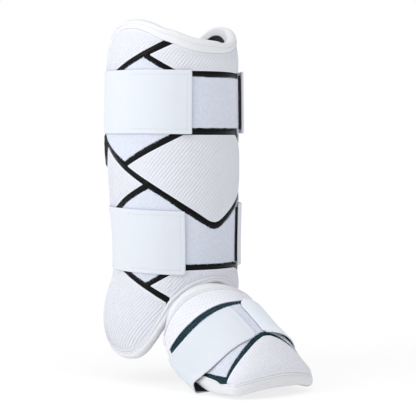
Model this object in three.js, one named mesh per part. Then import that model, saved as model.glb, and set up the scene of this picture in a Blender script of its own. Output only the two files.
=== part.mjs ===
// Batter's leg guard: a padded shin shell with two elastic calf straps, and a foot guard with its own strap.
// Millimetres, +Z up, toe towards -Y. Heights are counted from the sole of the shoe under the foot guard. The
// finished group is lowered so that its origin lies on the leg's axis, midway between the two calf straps.
import * as THREE from "three";

// Driving dimensions
const PAD_WALL = 8; // padded wall of the shin shell and the foot guard
const SKIN = 1.4; // welded panels and loop fabric on the pads
const SEAT = 0.8; // clearance between stacked layers
const STRAP_WIDTH = 63.5; // calf straps
const STRAP_THICK = 1.6;
const STRAP_SEAT = 0.6; // strap above the panels
const HOOK_THICK = 1.5; // hook tape under a far strap end
const HOOK_WIDTH = 56;
const UPPER_STRAP_HEIGHT = 282; // middle of each calf strap
const LOWER_STRAP_HEIGHT = 139.5;
const NEAR_END_UPPER = 23; // degrees from the front line to the near end of each calf strap
const NEAR_END_LOWER = 30;
const FAR_END = 33; // degrees from the front line to the far ends
const HOOK_SHOWS = 2.5; // degrees of hook tape beyond a far end
const HOOK_SPAN = 36; // degrees of hook tape in all
const BACK_EDGE = 135; // degrees from the front line to the shell's back edges
const TOP_ROLL = 12.5; // widths of the bound edges
const BOTTOM_ROLL = 9;
const SIDE_ROLL = 10;
const ROLL_TAPER = 20; // degrees over which the shin rolls narrow towards the back edges
const ROLL_END_SHARE = 0.45;
const TAB_THICK = 2; // cloth tab behind the ankle hinge
const TAB_HALF_ANGLE = 20;

// Layer heights, measured out from the visible skin
const PAD_OUTER = -SKIN - SEAT;
const PAD_INNER = PAD_OUTER - PAD_WALL;

// Mesh fineness
const COLUMN_STEP = 10; // degrees
const ROW_STEP = 17; // millimetres
const STRAP_ROWS = 2;
const PAD_ROWS = 15;
const FOOT_ROWS = 9;
const FOOT_COLUMNS = 18;
const FOOT_PANEL_ROWS = 3;
const FOOT_SIDE_ROWS = 5;
const FOOT_STRAP_ROWS = 4;
const FOOT_STRAP_COLUMNS = 7;
const TAB_STEPS = 9;

// A table with named columns, read at any value of its first column
function table(columns, rows, Interpolant = THREE.LinearInterpolant) {
  const width = columns.length - 1;
  const keys = rows.map((row) => row[0]);
  const values = rows.flatMap((row) => row.slice(1));
  const interpolant = new Interpolant(keys, values, width, new Float64Array(width));
  const read = (key) => {
    const result = interpolant.evaluate(key);
    return Object.fromEntries(columns.slice(1).map((name, i) => [name, result[i]]));
  };
  return { keys, read };
}

// Horizontal sections of the shin guard's skin
const SHIN = table(["height", "halfWidth", "halfDepth", "centre"], [
  [0, 54, 54, -4],
  [21, 64.5, 64.5, 1],
  [37, 69, 70, 5],
  [58, 70.5, 72.5, 7],
  [79, 69, 71, 5],
  [105, 65.6, 65.3, 0],
  [131, 64.8, 64.2, -1],
  [184, 67.2, 67.7, 2],
  [247, 68.8, 70.4, 5],
  [299, 68, 70.4, 5],
  [331, 67.3, 69, 4.5],
  [352, 64, 65.5, 2.5],
  [373, 58, 59.5, -1],
], THREE.CubicInterpolant);

// Seams where the edge rolls start, by angle from the front line
const TOP_SEAM = table(["angle", "height"], [
  [0, 332],
  [13, 332.8],
  [26, 336],
  [41, 341.5],
  [52, 346.8],
  [67, 355],
  [80, 358],
  [95, 357],
  [106, 352.5],
  [118, 344.5],
  [128, 335],
  [135, 327],
], THREE.CubicInterpolant);

const BOTTOM_SEAM = table(["angle", "height"], [
  [0, 107.5],
  [10, 107],
  [20, 105],
  [26, 102],
  [32, 97],
  [38, 88.5],
  [42, 81],
  [45, 74],
  [48, 66.5],
  [52, 57.5],
  [58, 46.5],
  [65, 37],
  [72, 31],
  [80, 27],
  [88, 25.5],
  [100, 25.5],
  [110, 28],
  [120, 32.5],
  [128, 38.5],
  [135, 45],
], THREE.CubicInterpolant);

// Outlines of the shin panels: lower and upper edges by angle from the front line. Panels stop at the seams.
const OPEN_LOW = 0;
const OPEN_HIGH = 400;
const OUTLINE = ["angle", "low", "high"];
const FRONT_PANELS = {
  top_front_panel: table(OUTLINE, [
    [0, 313, OPEN_HIGH],
    [22.5, 313.2, OPEN_HIGH],
    [38, 315.2, OPEN_HIGH],
    [41, 317.2, 341],
    [59.5, 329, 331],
  ]),
  upper_loop_panel: table(OUTLINE, [
    [0, 256, 307.6],
    [22.5, 256, 308.6],
    [37, 256, 310],
  ]),
  centre_panel: table(OUTLINE, [
    [0, 160, 249.8],
    [3, 160.3, 249.8],
    [7, 162, 249.8],
    [30.8, 177.6, 249.8],
    [59, 197, 231.5],
    [79.5, 215, 218],
  ]),
  lower_loop_panel: table(OUTLINE, [
    [0, 117.6, 153.6],
    [4, 117.6, 154.6],
    [14.5, 117.6, 161],
    [40, 117.6, 179.4],
  ]),
  bottom_front_panel: table(OUTLINE, [
    [0, OPEN_LOW, 112.4],
    [29.8, OPEN_LOW, 112.2],
    [38, OPEN_LOW, 110.2],
    [42, 84.2, 109],
    [58.5, 94.6, 97.4],
  ]),
};
const SIDE_PANELS = {
  top_side_panel: table(OUTLINE, [
    [49.5, 342.6, OPEN_HIGH],
    [95.8, 315.8, OPEN_HIGH],
    [131, 294.5, OPEN_HIGH],
  ]),
  upper_side_panel: table(OUTLINE, [
    [42, 249.2, 311.4],
    [47.8, 245.5, 315.2],
    [66.5, 233.4, 327.8],
    [85, 221.5, 315],
    [106.8, 237.2, 301.5],
    [124, 250, 291],
  ]),
  mid_side_panel: table(OUTLINE, [
    [67.2, 198, 200.4],
    [86.5, 185.6, 216],
    [111.5, 168, 234],
    [118, 163.5, 238],
    [124, 159.4, 222],
    [131, 154.5, 205],
  ]),
  lower_side_panel: table(OUTLINE, [
    [44, 114, 182.5],
    [53, 107.8, 188.9],
    [61, 102.2, 194],
    [65.5, 99, 191.7],
    [82.8, 109.8, 182],
    [91.2, 115.5, 175.5],
    [124, 138, 150],
  ]),
  bottom_side_panel: table(OUTLINE, [
    [45.5, OPEN_LOW, 79.2],
    [65.2, OPEN_LOW, 91.5],
    [93.8, OPEN_LOW, 110],
    [131, OPEN_LOW, 134],
  ]),
};

// Arched sections of the foot guard's skin, from the toe rim (along 0) up to the collar (along 1).
// Each section runs from its base on one side over the ridge to its base on the other side.
const FOOT = table(["along", "halfWidth", "ridgeY", "ridgeHeight", "baseY", "baseHeight", "fullness"], [
  [-0.12, 54, -170.5, 4.5, -152, -3, 1],
  [0, 53.5, -168.5, 18, -150, 8, 1],
  [0.25, 55.5, -157, 37, -134, 7, 1],
  [0.45, 56, -143, 53, -114, 7, 0.95],
  [0.65, 56, -123, 68.5, -92, 10, 0.9],
  [0.85, 56, -99, 84, -72, 20, 0.85],
  [1, 56, -75, 96, -57, 37, 0.8],
  [1.1, 56, -65, 100.5, -50, 45, 0.8],
], THREE.CubicInterpolant);

// Outlines of the foot panels: front and rear edges by angle from the ridge
const FOOT_OUTLINE = ["angle", "front", "rear"];
const FOOT_PANELS = {
  foot_rear_panel: table(FOOT_OUTLINE, [
    [0, 0.84, 0.994],
    [38, 0.868, 0.994],
    [56, 0.882, 0.994],
    [84, 0.926, 0.994],
  ]),
  foot_loop_panel: table(FOOT_OUTLINE, [
    [0, 0.462, 0.8],
    [16, 0.43, 0.805],
    [30, 0.38, 0.818],
    [40, 0.37, 0.83],
  ]),
  foot_toe_panel: table(FOOT_OUTLINE, [
    [0, 0.004, 0.418],
    [16, 0.004, 0.384],
    [30, 0.004, 0.33],
    [48, 0.004, 0.234],
    [74, 0.004, 0.085],
  ]),
};
const FOOT_SIDE_PANEL = table(FOOT_OUTLINE, [
  [43, 0.306, 0.832],
  [48, 0.282, 0.838],
  [70, 0.156, 0.862],
  [79, 0.12, 0.885],
]);

// The foot strap's edges by angle from the ridge
const FOOT_STRAP = table(FOOT_OUTLINE, [
  [0, 0.465, 0.8],
  [10, 0.46, 0.8],
  [30, 0.428, 0.818],
  [57, 0.378, 0.855],
  [85, 0.354, 0.885],
]);
const FOOT_STRAP_NEAR_END = 11;
const FOOT_STRAP_FAR_END = 1;
const FOOT_STRAP_LOW = 84; // lowest angle on the dome
const FOOT_STRAP_AT_ROLL = 93; // angle where it lies on the side rolls
const ROLL_CLEAR = 1.8; // strap over the side rolls
const ROLL_TURN = 0.6; // strap round the side rolls' lower corner
const ROLL_MIDDLE = -5;
const TOE_RIM = -0.12;
const COLLAR_RIM = 1.06;

// Sections of the edge rolls: share of the roll's width beyond the seam, and height over the skin
const TOP_ROLL_PROFILE = [
  { across: 0, over: -0.6 },
  { across: 0.25, over: 0.7 },
  { across: 0.5, over: -0.2 },
  { across: 0.78, over: 0.3 },
  { across: 1, over: -3.2 },
  { across: 1, over: -7 },
  { across: 0.78, over: -10 },
  { across: 0, over: -10.2 },
];
const PLAIN_ROLL_PROFILE = [
  { across: 0, over: -0.6 },
  { across: 0.32, over: 0.9 },
  { across: 0.72, over: 0.4 },
  { across: 1, over: -3 },
  { across: 1, over: -7 },
  { across: 0.72, over: -10.2 },
  { across: 0.32, over: -10.8 },
  { across: 0, over: -10.2 },
];

const LEG_CENTRE = (UPPER_STRAP_HEIGHT + LOWER_STRAP_HEIGHT) / 2;

const radians = THREE.MathUtils.degToRad;
const mix = THREE.MathUtils.lerp;
const eased = THREE.MathUtils.smoothstep;

// Skin of the shin guard, lifted by an offset
function shinPoint(angle, height, offset) {
  const { halfWidth, halfDepth, centre } = SHIN.read(height);
  const turn = radians(angle);
  const x = (halfWidth + offset) * Math.sin(turn);
  const y = centre - (halfDepth + offset) * Math.cos(turn);
  return new THREE.Vector3(x, y, height);
}

// Skin of the foot guard, lifted by an offset. Past the base it hangs straight down, a millimetre a degree.
function footPoint(angle, along, offset) {
  const section = FOOT.read(along);
  const past = Math.abs(angle) - 90;
  if (past > 0) {
    const wall = Math.sign(angle) * (section.halfWidth + offset);
    return new THREE.Vector3(wall, section.baseY, section.baseHeight - past);
  }
  const slope = 0.01;
  const ahead = FOOT.read(along + slope);
  const behind = FOOT.read(along - slope);
  const rise = new THREE.Vector2(ahead.ridgeY - behind.ridgeY, ahead.ridgeHeight - behind.ridgeHeight);
  rise.normalize();
  const ridgeY = section.ridgeY - rise.y * offset;
  const ridgeHeight = section.ridgeHeight + rise.x * offset;
  const turn = radians(angle);
  const share = Math.max(Math.cos(turn), 0) ** section.fullness;
  const x = (section.halfWidth + offset) * Math.sin(turn);
  return new THREE.Vector3(x, mix(section.baseY, ridgeY, share), mix(section.baseHeight, ridgeHeight, share));
}

// A closed solid from points and triangles, with its faces turned outwards
function solid(points, triangles) {
  const edge = new THREE.Vector3();
  let volume = 0;
  for (const [a, b, c] of triangles) {
    volume += points[a].dot(edge.crossVectors(points[b], points[c]));
  }
  const faces = volume > 0 ? triangles : triangles.map(([a, b, c]) => [a, c, b]);
  const geometry = new THREE.BufferGeometry();
  geometry.setFromPoints(points);
  geometry.setIndex(faces.flat());
  geometry.computeVertexNormals();
  return geometry;
}

// A sheet of even rows and columns with an inner and an outer face. rows[i][j] is a pair [inner, outer].
function sheet(rows) {
  const height = rows[0].length;
  const points = rows.flat(2);
  const outer = (i, j) => 2 * (i * height + j) + 1;
  const inner = (i, j) => 2 * (i * height + j);
  const triangles = [];
  const quad = (a, b, c, d) => triangles.push([a, b, c], [a, c, d]);
  for (let i = 0; i + 1 < rows.length; i++) {
    for (let j = 0; j + 1 < height; j++) {
      quad(outer(i, j), outer(i + 1, j), outer(i + 1, j + 1), outer(i, j + 1));
      quad(inner(i, j), inner(i, j + 1), inner(i + 1, j + 1), inner(i + 1, j));
    }
  }
  const last = rows.length - 1;
  const top = height - 1;
  for (let i = 0; i < last; i++) {
    quad(outer(i, 0), inner(i, 0), inner(i + 1, 0), outer(i + 1, 0));
    quad(outer(i + 1, top), inner(i + 1, top), inner(i, top), outer(i, top));
  }
  for (let j = 0; j < top; j++) {
    quad(outer(last, j), inner(last, j), inner(last, j + 1), outer(last, j + 1));
    quad(outer(0, j + 1), inner(0, j + 1), inner(0, j), outer(0, j));
  }
  return solid(points, triangles);
}

// A layer of a surface between two offsets, over angles with a lower and an upper limit at each
function layer(surface, angles, limits, rowCount, inner, outer) {
  return sheet(angles.map((angle) => {
    const { low, high } = limits(angle);
    return Array.from({ length: rowCount + 1 }, (_, j) => {
      const at = mix(low, high, j / rowCount);
      return [surface(angle, at, inner), surface(angle, at, outer)];
    });
  }));
}

// A roll along a seam: each station has the parameters of the seam and of the edge beyond it
function roll(surface, stations, profile, closed) {
  const size = profile.length;
  const points = stations.flatMap(({ seam, edge }) => profile.map(({ across, over }) => {
    const at = seam.clone().lerp(edge, across);
    return surface(at.x, at.y, over);
  }));
  const triangles = [];
  const spans = closed ? stations.length : stations.length - 1;
  for (let i = 0; i < spans; i++) {
    const next = (i + 1) % stations.length;
    for (let k = 0; k < size; k++) {
      const a = i * size + k;
      const b = i * size + ((k + 1) % size);
      const c = next * size + ((k + 1) % size);
      const d = next * size + k;
      triangles.push([a, b, c], [a, c, d]);
    }
  }
  if (!closed) {
    const end = (stations.length - 1) * size;
    for (let k = 1; k + 1 < size; k++) {
      triangles.push([0, k + 1, k], [end, end + k, end + k + 1]);
    }
  }
  return solid(points, triangles);
}

// Angles from a list, with gaps wider than the step divided evenly
function divided(angles, step = COLUMN_STEP) {
  return angles.flatMap((angle, i) => {
    if (i === 0) {
      return [angle];
    }
    const parts = Math.ceil(Math.abs(angle - angles[i - 1]) / step);
    return Array.from({ length: parts }, (_, k) => mix(angles[i - 1], angle, (k + 1) / parts));
  });
}

const otherSide = (angles) => angles.map((angle) => -angle).reverse();
const mirrored = (angles) => [...otherSide(angles.slice(1)), ...angles];
const evenly = (from, to, count) => Array.from({ length: count + 1 }, (_, i) => mix(from, to, i / count));

const EDGE_ANGLES = mirrored(BOTTOM_SEAM.keys);
const FOOT_ANGLES = evenly(-90, 90, FOOT_COLUMNS);

const topSeam = (angle) => TOP_SEAM.read(Math.abs(angle)).height;
const bottomSeam = (angle) => BOTTOM_SEAM.read(Math.abs(angle)).height;

// Limits of a shin panel, which stops short of the seams
function panelLimits(outline) {
  return (angle) => {
    const { low, high } = outline.read(Math.abs(angle));
    return { low: Math.max(low, bottomSeam(angle) + SEAT), high: Math.min(high, topSeam(angle) - SEAT) };
  };
}

function shinPanel(outline, angles) {
  const limits = panelLimits(outline);
  const tallest = Math.max(...angles.map((angle) => limits(angle).high - limits(angle).low));
  return layer(shinPoint, angles, limits, Math.ceil(tallest / ROW_STEP), -SKIN, 0);
}

function shinPad() {
  const limits = (angle) => ({ low: bottomSeam(angle), high: topSeam(angle) });
  return layer(shinPoint, EDGE_ANGLES, limits, PAD_ROWS, PAD_INNER, PAD_OUTER);
}

// A roll along one of the shell's seams, square to the seam in the surface
function shinRoll(seamHeight, angles, width, profile, outwards) {
  const girth = radians(SHIN.read(LEG_CENTRE).halfWidth);
  const stations = angles.map((angle) => {
    const nearby = 1;
    const before = Math.max(angle - nearby, -BACK_EDGE);
    const after = Math.min(angle + nearby, BACK_EDGE);
    const run = new THREE.Vector2((after - before) * girth, seamHeight(after) - seamHeight(before));
    run.normalize();
    const beyond = (distance) => new THREE.Vector2(
      angle - outwards * run.y * distance / girth,
      seamHeight(angle) + outwards * run.x * distance,
    );
    const tapered = mix(ROLL_END_SHARE, 1, eased(BACK_EDGE - Math.abs(angle), 0, ROLL_TAPER));
    return { seam: beyond(SEAT), edge: beyond(width * tapered) };
  });
  return roll(shinPoint, stations, profile, false);
}

// A calf strap: a band round the leg from the near end, behind the calf, to the lifted far end
function calfStrap(height, nearEnd) {
  const settling = FAR_END + HOOK_SPAN;
  const settled = settling + COLUMN_STEP;
  const angles = divided([FAR_END, settling, settled, 360 - nearEnd]);
  const lifted = HOOK_THICK + SEAT;
  const columns = angles.map((angle) => {
    const inner = STRAP_SEAT + lifted * (1 - eased(angle, settling, settled));
    return evenly(height - STRAP_WIDTH / 2, height + STRAP_WIDTH / 2, STRAP_ROWS)
      .map((at) => [shinPoint(angle, at, inner), shinPoint(angle, at, inner + STRAP_THICK)]);
  });
  return sheet(columns);
}

function hookPatch(height) {
  const angles = divided([FAR_END - HOOK_SHOWS, FAR_END - HOOK_SHOWS + HOOK_SPAN]);
  const limits = () => ({ low: height - HOOK_WIDTH / 2, high: height + HOOK_WIDTH / 2 });
  return layer(shinPoint, angles, limits, STRAP_ROWS, STRAP_SEAT, STRAP_SEAT + HOOK_THICK);
}

function footPad() {
  const limits = () => ({ low: 0, high: 1 });
  return layer(footPoint, FOOT_ANGLES, limits, FOOT_ROWS, PAD_INNER, PAD_OUTER);
}

function footPanel(outline, angles, rowCount) {
  const limits = (angle) => {
    const { front, rear } = outline.read(Math.abs(angle));
    return { low: front, high: rear };
  };
  return layer(footPoint, angles, limits, rowCount, -SKIN, 0);
}

// The roll round the foot guard: toe rim, far side, collar and near side in turn
function footBinding() {
  const gap = 0.006;
  const station = (seamAngle, seamAlong, edgeAngle, edgeAlong) => ({
    seam: new THREE.Vector2(seamAngle, seamAlong),
    edge: new THREE.Vector2(edgeAngle, edgeAlong),
  });
  const past = 90 + SEAT;
  const side = (sign, along) => station(sign * past, along, sign * (90 + SIDE_ROLL), along);
  const arch = FOOT_ANGLES.slice(1, -1);
  const toe = arch.map((angle) => station(angle, -gap, angle, TOE_RIM));
  const collar = arch.toReversed().map((angle) => station(angle, 1 + gap, angle, COLLAR_RIM));
  const alongs = evenly(0, 1, FOOT_ROWS).slice(1, -1);
  const cornerDrop = 90 + 0.45 * SIDE_ROLL;
  const corner = (sign, seamAlong, edgeAlong) =>
    station(sign * past, seamAlong, sign * cornerDrop, edgeAlong);
  return roll(footPoint, [
    ...toe,
    corner(1, -gap, 0.5 * TOE_RIM),
    ...alongs.map((along) => side(1, along)),
    corner(1, 1 + gap, mix(1, COLLAR_RIM, 0.6)),
    ...collar,
    corner(-1, 1 + gap, mix(1, COLLAR_RIM, 0.6)),
    ...alongs.toReversed().map((along) => side(-1, along)),
    corner(-1, -gap, 0.5 * TOE_RIM),
  ], PLAIN_ROLL_PROFILE, true);
}

// The foot strap: one loop over the dome, round the side rolls and under the sole, with its ends on the ridge
function footStrap() {
  const rowShares = evenly(0, 1, FOOT_STRAP_ROWS);
  const alongAt = (angle, share) => {
    const { front, rear } = FOOT_STRAP.read(Math.abs(angle));
    return mix(front, rear, share);
  };
  const over = (angle, inner) => rowShares.map((share) => {
    const along = alongAt(angle, share);
    return [footPoint(angle, along, inner), footPoint(angle, along, inner + STRAP_THICK)];
  });
  const rollEdge = (sign, share, outside) => {
    const along = alongAt(90, share);
    return footPoint(sign * (90 + SIDE_ROLL), along, outside);
  };
  const below = (point, drop) => point.add(new THREE.Vector3(0, 0, -drop));
  const turned = (sign) => rowShares.map((share) => [
    below(rollEdge(sign, share, ROLL_TURN), SEAT),
    below(rollEdge(sign, share, ROLL_TURN + STRAP_THICK * Math.SQRT1_2), SEAT + STRAP_THICK * Math.SQRT1_2),
  ]);
  const under = (share) => rowShares.map((row) => {
    const near = rollEdge(-1, row, ROLL_MIDDLE);
    const far = rollEdge(1, row, ROLL_MIDDLE);
    const at = near.lerp(far, share);
    return [below(at.clone(), SEAT), below(at.clone(), SEAT + STRAP_THICK)];
  });
  const nearAngles = evenly(FOOT_STRAP_NEAR_END, FOOT_STRAP_LOW, FOOT_STRAP_COLUMNS);
  const farAngles = evenly(FOOT_STRAP_LOW, FOOT_STRAP_FAR_END, FOOT_STRAP_COLUMNS);
  return sheet([
    ...nearAngles.map((angle) => over(-angle, STRAP_SEAT)),
    over(-FOOT_STRAP_AT_ROLL, ROLL_CLEAR),
    turned(-1),
    ...evenly(0, 1, 4).map(under),
    turned(1),
    over(FOOT_STRAP_AT_ROLL, ROLL_CLEAR),
    ...farAngles.map((angle) => over(angle, STRAP_SEAT)),
  ]);
}

// The cloth tab behind the ankle hinge, from inside the shin shell to inside the foot guard's collar
function ankleTab() {
  const clear = 0.8;
  const inside = PAD_INNER - clear;
  const facePath = (angle, depth) => new THREE.CatmullRomCurve3([
    shinPoint(angle, 126, inside - depth),
    shinPoint(angle, 112, inside - depth),
    shinPoint(angle, 97, inside - depth - 1.5),
    footPoint(angle, 1.02, inside - depth - 1.2),
    footPoint(angle, 0.9, inside - depth),
    footPoint(angle, 0.8, inside - depth),
  ]);
  const angles = divided([-TAB_HALF_ANGLE, TAB_HALF_ANGLE]);
  return sheet(angles.map((angle) => {
    const outer = facePath(angle, 0).getPoints(TAB_STEPS);
    const inner = facePath(angle, TAB_THICK).getPoints(TAB_STEPS);
    return outer.map((point, j) => [inner[j], point]).reverse();
  }));
}

const FINISH = {
  pad: { color: 0x17171a, roughness: 0.9 },
  binding: { color: 0xeceef1, roughness: 0.6 },
  panel: { color: 0xe8eaf2, roughness: 0.65 },
  loop: { color: 0xd3d8e4, roughness: 1 },
  elastic: { color: 0xe9eef6, roughness: 0.85 },
};

const guard = new THREE.Group();

function add(name, geometry, finish) {
  const material = new THREE.MeshStandardMaterial({ ...FINISH[finish], metalness: 0 });
  const mesh = new THREE.Mesh(geometry, material);
  mesh.name = name;
  guard.add(mesh);
}

// Shin guard
add("shin_pad", shinPad(), "pad");
add("top_binding", shinRoll(topSeam, EDGE_ANGLES, TOP_ROLL, TOP_ROLL_PROFILE, 1), "binding");
add("bottom_binding", shinRoll(bottomSeam, EDGE_ANGLES, BOTTOM_ROLL, PLAIN_ROLL_PROFILE, -1), "binding");
for (const [name, outline] of Object.entries(FRONT_PANELS)) {
  const finish = name.includes("loop") ? "loop" : "panel";
  add(name, shinPanel(outline, mirrored(divided(outline.keys))), finish);
}
for (const [name, outline] of Object.entries(SIDE_PANELS)) {
  const angles = divided(outline.keys);
  add(`${name}_left`, shinPanel(outline, otherSide(angles)), "panel");
  add(`${name}_right`, shinPanel(outline, angles), "panel");
}
add("upper_strap", calfStrap(UPPER_STRAP_HEIGHT, NEAR_END_UPPER), "elastic");
add("lower_strap", calfStrap(LOWER_STRAP_HEIGHT, NEAR_END_LOWER), "elastic");
add("upper_hook_patch", hookPatch(UPPER_STRAP_HEIGHT), "pad");
add("lower_hook_patch", hookPatch(LOWER_STRAP_HEIGHT), "pad");

// Foot guard
add("foot_pad", footPad(), "pad");
add("foot_binding", footBinding(), "binding");
for (const [name, outline] of Object.entries(FOOT_PANELS)) {
  const finish = name.includes("loop") ? "loop" : "panel";
  add(name, footPanel(outline, mirrored(divided(outline.keys)), FOOT_PANEL_ROWS), finish);
}
const footSideAngles = divided(FOOT_SIDE_PANEL.keys);
add("foot_side_panel_left", footPanel(FOOT_SIDE_PANEL, otherSide(footSideAngles), FOOT_SIDE_ROWS), "panel");
add("foot_side_panel_right", footPanel(FOOT_SIDE_PANEL, footSideAngles, FOOT_SIDE_ROWS), "panel");
add("foot_strap", footStrap(), "elastic");
add("ankle_tab", ankleTab(), "pad");

guard.position.z = -LEG_CENTRE;

export default guard;
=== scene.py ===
"""Batter's leg guard: a padded shin shell, a foot guard and elastic straps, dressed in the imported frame.

Tables and shapes are in millimetres and degrees, with heights counted from the sole of the shoe.
Meshes are in metres, in the frame. Angles on the shin run from its front line, and on the foot from its
ridge. They are less than 0 on the near side, which is the left as seen from the front, and more than 0 on
the far side.
"""
import math
from collections import namedtuple
from functools import partial

import bpy
import numpy as np
from bpy.props import FloatProperty, FloatVectorProperty, IntProperty, PointerProperty
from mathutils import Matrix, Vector


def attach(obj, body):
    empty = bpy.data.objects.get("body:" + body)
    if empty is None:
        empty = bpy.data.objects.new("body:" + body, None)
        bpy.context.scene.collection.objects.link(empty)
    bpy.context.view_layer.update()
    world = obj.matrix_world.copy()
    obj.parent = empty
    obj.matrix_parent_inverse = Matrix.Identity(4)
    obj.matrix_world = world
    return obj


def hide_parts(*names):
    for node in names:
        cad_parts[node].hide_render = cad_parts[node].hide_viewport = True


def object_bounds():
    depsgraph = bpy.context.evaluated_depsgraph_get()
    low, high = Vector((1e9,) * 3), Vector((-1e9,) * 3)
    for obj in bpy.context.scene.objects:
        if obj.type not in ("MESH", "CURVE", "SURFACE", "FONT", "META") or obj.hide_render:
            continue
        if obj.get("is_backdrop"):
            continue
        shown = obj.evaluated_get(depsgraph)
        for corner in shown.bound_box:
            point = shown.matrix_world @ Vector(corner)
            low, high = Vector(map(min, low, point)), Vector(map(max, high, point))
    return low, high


bl_info = {
    "name": "Batter's leg guard",
    "version": (1, 0, 0),
    "blender": (4, 5, 0),
    "location": "View3D > Sidebar > Leg guard",
    "description": "Builds the padding, panels, bindings and straps of a leg guard round its packed frame",
    "category": "Object",
}

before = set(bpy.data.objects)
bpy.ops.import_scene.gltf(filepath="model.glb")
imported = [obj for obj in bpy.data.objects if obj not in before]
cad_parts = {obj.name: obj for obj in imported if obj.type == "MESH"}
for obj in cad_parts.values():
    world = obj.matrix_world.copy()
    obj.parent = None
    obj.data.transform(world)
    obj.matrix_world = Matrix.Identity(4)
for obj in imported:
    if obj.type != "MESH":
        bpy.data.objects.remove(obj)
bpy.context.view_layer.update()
BODY = "root"

# Thicknesses and gaps of the layers, and heights of the padding over the skin line of the panels' faces
MILLIMETRE = 0.001
PAD_WALL = 8.0
SKIN = 1.4
SEAT = 0.8
PAD_OUTER = -SKIN - SEAT
PAD_INNER = PAD_OUTER - PAD_WALL
PAD_MIDDLE = (PAD_OUTER + PAD_INNER) / 2

# Sizes and places of the straps, hook tapes, back edges, rolls and ankle tab
STRAP_WIDTH = 64.6
STRAP_THICK = 1.6
STRAP_SEAT = 0.6
NEAR_LIFT = 1.0
NEAR_LIFT_REACH = 14.0
HOOK_GAP = 0.6
HOOK_WIDTH = 56.0
HOOK_SHOWS = 1.7
HOOK_SPAN = 36.0
UPPER_STRAP_HEIGHT = 282.0
LOWER_STRAP_HEIGHT = 139.5
LEG_CENTRE = (UPPER_STRAP_HEIGHT + LOWER_STRAP_HEIGHT) / 2
FAR_END = 33.0
BACK_EDGE = 135.0
TOP_ROLL = 12.5
ROLL_TAPER = 20.0
ROLL_END_SHARE = 0.45
TAB_THICK = 2.0
TAB_HALF_ANGLE = 20.0


class Table:
    """Rows by their first column, read between them along straight lines, or along smooth curves."""

    def __init__(self, rows, smooth=False):
        rows = np.array(rows, float)
        self.keys = rows[:, 0]
        self.values = rows[:, 1:]
        self.smooth = smooth
        secants = np.diff(self.values, axis=0) / np.diff(self.keys)[:, None]
        between = (secants[1:] + secants[:-1]) / 2
        self.slopes = np.concatenate([secants[:1], between, secants[-1:]])

    def __call__(self, at):
        """One array for each column after the first."""
        at = np.clip(np.asarray(at, float), self.keys[0], self.keys[-1])
        row = np.clip(np.searchsorted(self.keys, at, side="right") - 1, 0, len(self.keys) - 2)
        span = (self.keys[row + 1] - self.keys[row])[..., None]
        part = (at - self.keys[row])[..., None] / span
        start = self.values[row]
        end = self.values[row + 1]
        if not self.smooth:
            return np.moveaxis(start + (end - start) * part, -1, 0)
        leave = self.slopes[row] * span
        arrive = self.slopes[row + 1] * span
        rise = part * part * (3 - 2 * part)
        curve = start + (end - start) * rise
        curve = curve + leave * part * (1 - part) ** 2 - arrive * part * part * (1 - part)
        return np.moveaxis(curve, -1, 0)


# Height, near end, far end, hook tape's thickness and far hem of the calf straps, and how far they climb
# by the angle from the near end
CalfStrap = namedtuple("CalfStrap", "height near_end far_end hook far_hem climb")
CALF_STRAPS = {
    "upper": CalfStrap(UPPER_STRAP_HEIGHT, 23.0, 45.0, 1.6, 1.3, Table([(0, 0), (40, 0.8), (295, 0.8)])),
    "lower": CalfStrap(LOWER_STRAP_HEIGHT, 30.0, 32.8, 0.8, 0.0, Table([(0, 0), (64, 2.5), (295, 6.6)])),
}


def strap_middle(strap, angle):
    """Height of a strap's middle line by the angle round the shin."""
    from_near = 360 - strap.near_end - np.where(np.asarray(angle) < 0, np.asarray(angle) + 360, angle)
    return strap.height + strap.climb(from_near)[0]


# Height, half width, half depth and centre of the shin shell's skin
SHIN = Table([
    (0, 54, 54, -4), (21, 64.5, 64.5, 1), (37, 69, 70, 5), (58, 70.5, 72.5, 7), (79, 69, 71, 5),
    (105, 65.6, 65.3, 0), (131, 64.8, 64.2, -1), (184, 67.2, 67.7, 2), (247, 68.8, 70.4, 5),
    (299, 68, 70.4, 5), (331, 67.3, 69, 4.5), (352, 64, 65.5, 2.5), (373, 58, 59.5, -1),
], smooth=True)

# Angle and height of the seams where the edge rolls start
TOP_SEAM = Table([
    (0, 332), (13, 332.8), (26, 336), (41, 342.7), (52, 347.3), (67, 355), (80, 358), (95, 357),
    (106, 352.5), (118, 344.5), (128, 335), (135, 327),
], smooth=True)
BOTTOM_SEAM = Table([
    (0, 105), (10, 103.6), (20, 100.6), (26, 97.6), (32, 92.8), (38, 86.4), (42, 80.7), (45, 74),
    (48, 66.5), (52, 57.5), (58, 46.5), (65, 37), (72, 31), (80, 27), (88, 25.5), (100, 25.5),
    (110, 28), (120, 32.5), (128, 38.5), (135, 45),
], smooth=True)

# Signed angle, and how far the top seam and the top roll's width depart from an even pair of peaks
TOP_LEAN = Table([
    (-135, 2), (-115, 2), (-100, 1), (-85, 0), (30, 0), (60, -2), (91, -2), (100, -3.4),
    (108, -5.6), (115, -6.8), (125, -8.2), (135, -9),
], smooth=True)
TOP_ROLL_DIP = Table([
    (-130, 0), (-95, 3.6), (-75, 3.6), (-35, 0), (0, 0), (8, 1), (14, 2.6), (30, 4), (60, 4.6),
    (95, 5), (130, 0),
], smooth=True)

# Angle and width of the bottom roll
BOTTOM_ROLL_WIDTH = Table([(0, 8), (8, 9), (20, 13), (40, 14), (55, 9), (135, 9)], smooth=True)

# Edges that run on to the seams
OPEN_LOW = 0
OPEN_HIGH = 400
OPEN_TOE = -1

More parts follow.
